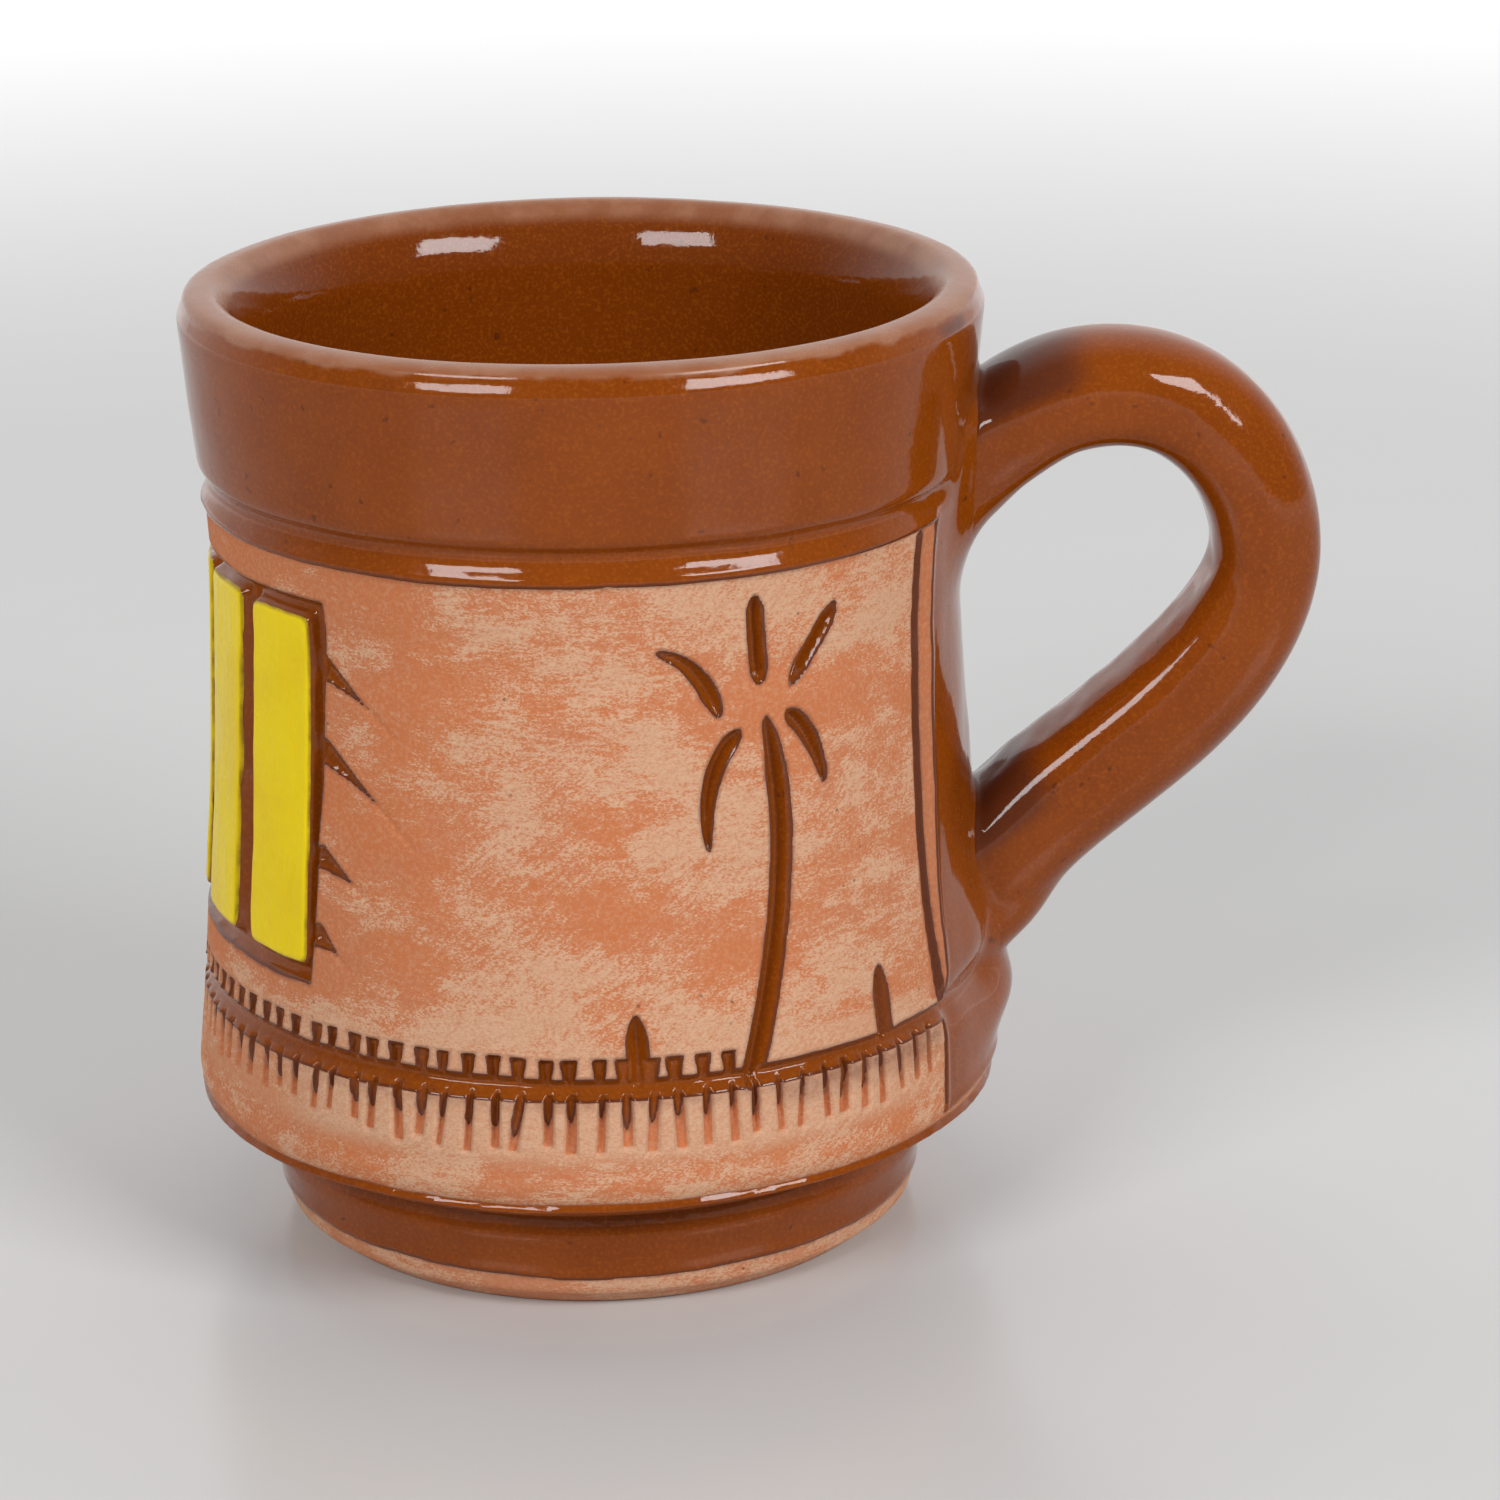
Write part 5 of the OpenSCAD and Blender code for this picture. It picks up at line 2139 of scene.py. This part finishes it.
    def _handled(self, places: Array, share: Array, turn: Array, out: Array) -> Array:
        """Height of the lumps, the rough inside and the flat pressed by a thumb.

        Args:
            places: Places of the even strap.
            share: Share of the strap's length at each ring.
            turn: Angle of each point of a ring, in radians.
            out: How far each point of a ring faces away from the pot.

        Returns:
            Height at each point.
        """
        lumps = self.noise.waves(places, self.lumps) + self.noise.waves(places + 40.0, self.small_lumps)
        rough = self.noise.waves(places + 80.0, self.rough_inside) * smooth(-0.85, -0.99, out)
        shoulder = span((0.16, 0.30), (0.64, 0.48), share)
        turned = np.degrees(turn) - 360.0 * (turn > math.pi)
        pressed = self.pressed_d * shoulder[:, None] * bell(turned - self.pressed_a, self.pressed_half_a)
        return lumps + rough - pressed

    def _faces(self) -> tuple[Array, Array]:
        """Faces of the sweep and of its two ends, facing out."""
        quads, caps = Meshes.tube(self.rings, self.sides)
        return quads[:, [0, 3, 2, 1]], caps[:, [0, 2, 1]]

    def _from_strap(self, points: Array) -> Array:
        """Signed distance of places from the bare strap, in mm.

        Args:
            points: Places in mm.

        Returns:
            Distance in mm of each place.
        """
        found = [self.tree.find_nearest(point) for point in points]
        nearest = np.array([place[:] for place, _, _, _ in found])
        facing = np.array([normal[:] for _, normal, _, _ in found])
        gap = np.array([away for _, _, _, away in found])
        return np.where(((points - nearest) * facing).sum(axis=1) > 0, gap, -gap)

    def _web(self, points: Array) -> Array:
        """Reach of the fillet between strap and wall at each place, widest under the strap.

        Args:
            points: Places in mm.

        Returns:
            Reach in mm at each place.
        """
        roots = self._roots()
        angles = (self.root_top_a, self.root_low_a)
        radius = np.hypot(points[:, 0], points[:, 1])
        webs = []
        forms = zip(roots, angles, self.web_side, self.web_below, self.web_turn)
        for (root_r, root_z), angle, side, below, turn in forms:
            slope = math.radians(angle)
            climb = (points[:, 2] - root_z - (radius - root_r) * math.tan(slope)) * math.cos(slope)
            upward = climb / np.maximum(np.hypot(climb, points[:, 1]), 1e-6)
            web = side + (below - side) * smooth(turn, turn - 0.55, upward)
            webs.append(web + (self.web_above - web) * smooth(turn + 0.1, turn + 0.6, upward))
        return np.where(points[:, 2] > (roots[0][1] + roots[1][1]) / 2, *webs)

    def _joined(self, start: Array, ways: Array, on_strap: bool, past: float) -> Array:
        """Heights at which lines from one surface meet the fillet between strap and wall.

        Args:
            start: Places on the surface, in mm.
            ways: Direction of each line.
            on_strap: Whether the surface is the strap, and otherwise the wall.
            past: How far the surface follows the fillet, where 1 is its middle line.

        Returns:
            Height along each line, in mm.
        """
        height = np.zeros(len(start))
        for _ in range(self.fillet_rounds):
            points = start + height[:, None] * ways
            web = self._web(points)
            over_strap = self._from_strap(points)
            over_wall = height
            if on_strap:
                over_wall = np.hypot(points[:, 0], points[:, 1]) - self.wall.radius_at(points, self.seat)
            near = np.clip(web - np.abs(over_wall - over_strap), 0.0, None)
            level = np.minimum(over_wall, over_strap) - near**2 / (4 * web)
            own = np.maximum(over_strap if on_strap else over_wall, 1e-3)
            limit = np.maximum(height, 1e-3) * past * web / 4 / own
            height = np.clip(np.minimum(height - level / self.fillet_pace, limit), 0.0, web)
        return height

    def rise(self, raised: Array) -> Array:
        """Height by which the wall rises into the strap at each point.

        Args:
            raised: Height of the glazed wall without the strap.

        Returns:
            Height to add, rows by columns.
        """
        wall = self.wall
        self.seat = raised
        rows = (wall.z > self.joins_low_z) & (wall.z < wall.shape.height - self.joins_under_rim)
        cols = np.abs(turned_to(wall.az, HANDLE_AZ)) < self.joins_half_a
        window = np.ix_(rows & wall.on_wall[:, 0], cols)
        start = wall.points(raised)[window]
        ways = wall.points(raised + 1.0)[window] - start
        height = np.zeros(raised.shape)
        found = self._joined(start.reshape(-1, 3), ways.reshape(-1, 3), False, self.wall_past)
        height[window] = found.reshape(start.shape[:2])
        return height

    def build(self) -> None:
        """Spread the strap's roots onto the wall, keep their ends inside it and dress the strap."""
        places = self.places.reshape(-1, 3).copy()
        away = self.away.reshape(-1, 3)
        gap = np.hypot(places[:, 0], places[:, 1]) - self.wall.radius_at(places, self.seat)
        near = gap < max(self.web_below)
        places[near] += self._joined(places[near], away[near], True, self.strap_past)[:, None] * away[near]
        radius = np.hypot(places[:, 0], places[:, 1])
        least = self.wall.radius_at(places, self.seat) - self.embedded
        places[:, :2] *= (np.maximum(radius, least) / radius)[:, None]
        self._mesh(places.reshape(self.places.shape))

    def _mesh(self, places: Array) -> None:
        """Close the sweep with two caps hidden in the wall and dress it.

        Args:
            places: Final places of the strap.
        """
        verts = np.concatenate([places.reshape(-1, 3), places[[0, -1]].mean(axis=1)])
        piece = Meshes.make("ear_handle", verts, self._faces(), None)
        # The painted shade near the roots is stored as a low edge value, which the glaze material darkens
        shade = np.concatenate([self.shade.ravel(), [0.0, 0.0]])
        for name, value in (("edge", 0.5 - 0.5 * shade), ("depth", 0.4), ("wear", 0.0)):
            Meshes.write(piece, name, np.broadcast_to(value, len(verts)))
        self.finishes.dress(piece, "handle_glaze", "handle_strap", "upper_clay_wad", "lower_clay_wad")


@dataclass(frozen=True)
class SoftBox:
    """Lamp aimed at the mug: direction round from the front, height above level, distance, size and power."""

    name: str
    azimuth: float
    elevation: float
    away: float
    width: float
    length: float
    power: float


@dataclass
class Studio:
    """Pale floor, soft boxes at both sides, a paler far side and the photograph's camera."""

    camera_at: tuple[float, float, float] = (0.0, -0.5, 0.2126855)
    camera_pitch: float = 0.3165
    camera_yaw: float = 0.0331
    camera_roll: float = -0.0139
    focal_px: float = 5012.3791
    frame_px: float = 1500.0
    sensor_mm: float = 36.0
    floor_half: float = 4.0
    floor_colour: Colour = (0.64, 0.64, 0.64)
    floor_shade: float = 0.97
    floor_rough: float = 0.24
    floor_shine: float = 0.5
    far_from: Point = (0.3, 0.9)
    far_lift: float = 0.5
    near_side: Colour = (0.15, 0.15, 0.15)
    far_side: Colour = (0.95, 0.95, 0.95)
    aim: tuple[float, float, float] = (0.0, 0.0, 0.055)
    boxes: tuple[SoftBox, ...] = (
        SoftBox("left_box", -36.0, 31.0, 2.0, 0.88, 0.42, 18.4),
        SoftBox("right_box", 46.0, 31.0, 2.0, 0.96, 0.46, 24.4),
    )

    def build(self) -> None:
        """Set floor, light, camera and view."""
        self._floor()
        self._light()
        self._camera()
        bpy.context.scene.view_settings.view_transform = "Standard"

    def _floor(self) -> None:
        """Large pale floor with a faint grain."""
        half = self.floor_half / MM
        verts = np.array([[-half, -half, 0], [half, -half, 0], [half, half, 0], [-half, half, 0]])
        floor = Meshes.make("floor", verts, [np.array([[0, 1, 2, 3]])], None)
        surface = Surface("pale_floor", self.floor_shine)
        grain = surface.noise(surface.place(), 40.0, 3.0, 0.5)
        shade = tuple(c * self.floor_shade for c in self.floor_colour)
        away = surface.node("ShaderNodeVectorMath", {0: surface.place()}, operation="LENGTH").outputs["Value"]
        seen = surface.node("ShaderNodeLightPath").outputs
        plainly = surface.math("MAXIMUM", seen["Is Camera Ray"], seen["Is Glossy Ray"])
        plainly = surface.math("MAXIMUM", plainly, seen["Is Transmission Ray"])
        far = surface.ramp(away, *self.far_from, 0.0, self.far_lift)
        surface.set(
            Base_Color=surface.blend(grain, self.floor_colour, shade),
            Roughness=self.floor_rough,
            Emission_Color=(1.0, 1.0, 1.0, 1.0),
            Emission_Strength=surface.math("MULTIPLY", far, plainly),
        )
        floor.data.materials.append(surface.material)

    def _light(self) -> None:
        """Even world and the boxes."""
        world = bpy.data.worlds.new("studio")
        bpy.context.scene.world = world
        world.use_nodes = True
        graph = Graph(world.node_tree)
        toward = graph.node("ShaderNodeTexCoord").outputs["Generated"]
        behind = graph.node("ShaderNodeSeparateXYZ", {0: toward}).outputs["Y"]
        sky = graph.blend(graph.ramp(behind, -0.2, 0.6), self.near_side, self.far_side)
        world.node_tree.links.new(sky, world.node_tree.nodes["Background"].inputs["Color"])
        for box in self.boxes:
            lamp = bpy.data.lights.new(box.name, "AREA")
            lamp.shape = "RECTANGLE"
            lamp.size = box.width
            lamp.size_y = box.length
            lamp.energy = box.power
            stand = bpy.data.objects.new(box.name, lamp)
            turn, rise = math.radians(box.azimuth), math.radians(box.elevation)
            back = Vector((math.sin(turn) * math.cos(rise), -math.cos(turn) * math.cos(rise), math.sin(rise)))
            stand.location = Vector(self.aim) + box.away * back
            stand.rotation_mode = "QUATERNION"
            stand.rotation_quaternion = (-back).to_track_quat("-Z", "Y")
            bpy.context.scene.collection.objects.link(stand)

    def _camera(self) -> None:
        """Camera at the photograph's place and angle."""
        data = bpy.data.cameras.new("camera")
        data.sensor_width = self.sensor_mm
        data.lens = self.focal_px / self.frame_px * self.sensor_mm
        data.clip_start = 0.01
        camera = bpy.data.objects.new("camera", data)
        pitch, yaw, roll = self.camera_pitch, self.camera_yaw, self.camera_roll
        ahead = Vector((math.sin(yaw) * math.cos(pitch), math.cos(yaw) * math.cos(pitch), -math.sin(pitch)))
        level = Vector((math.cos(yaw), -math.sin(yaw), 0.0))
        above = level.cross(ahead)
        right = math.cos(roll) * level + math.sin(roll) * above
        up = -math.sin(roll) * level + math.cos(roll) * above
        turn = Matrix((right, up, -ahead)).transposed()
        camera.matrix_world = Matrix.Translation(self.camera_at) @ turn.to_4x4()
        bpy.context.scene.collection.objects.link(camera)
        bpy.context.scene.camera = camera


def main() -> None:
    """Build the studio, the pot and the handle, and log the size of the wall's grid."""
    logging.basicConfig(level=logging.INFO, format="%(name)s: %(message)s")
    Studio().build()
    finishes = Finishes().build()
    wall = Wall(PotShape.from_frame())
    LOG.info("wall of %d rows by %d columns", wall.s.size, wall.az.size)
    handle = EarHandle(wall, finishes)
    ThrownPot(wall, finishes, handle).build()
    handle.build()


if __name__ == "__main__":
    main()
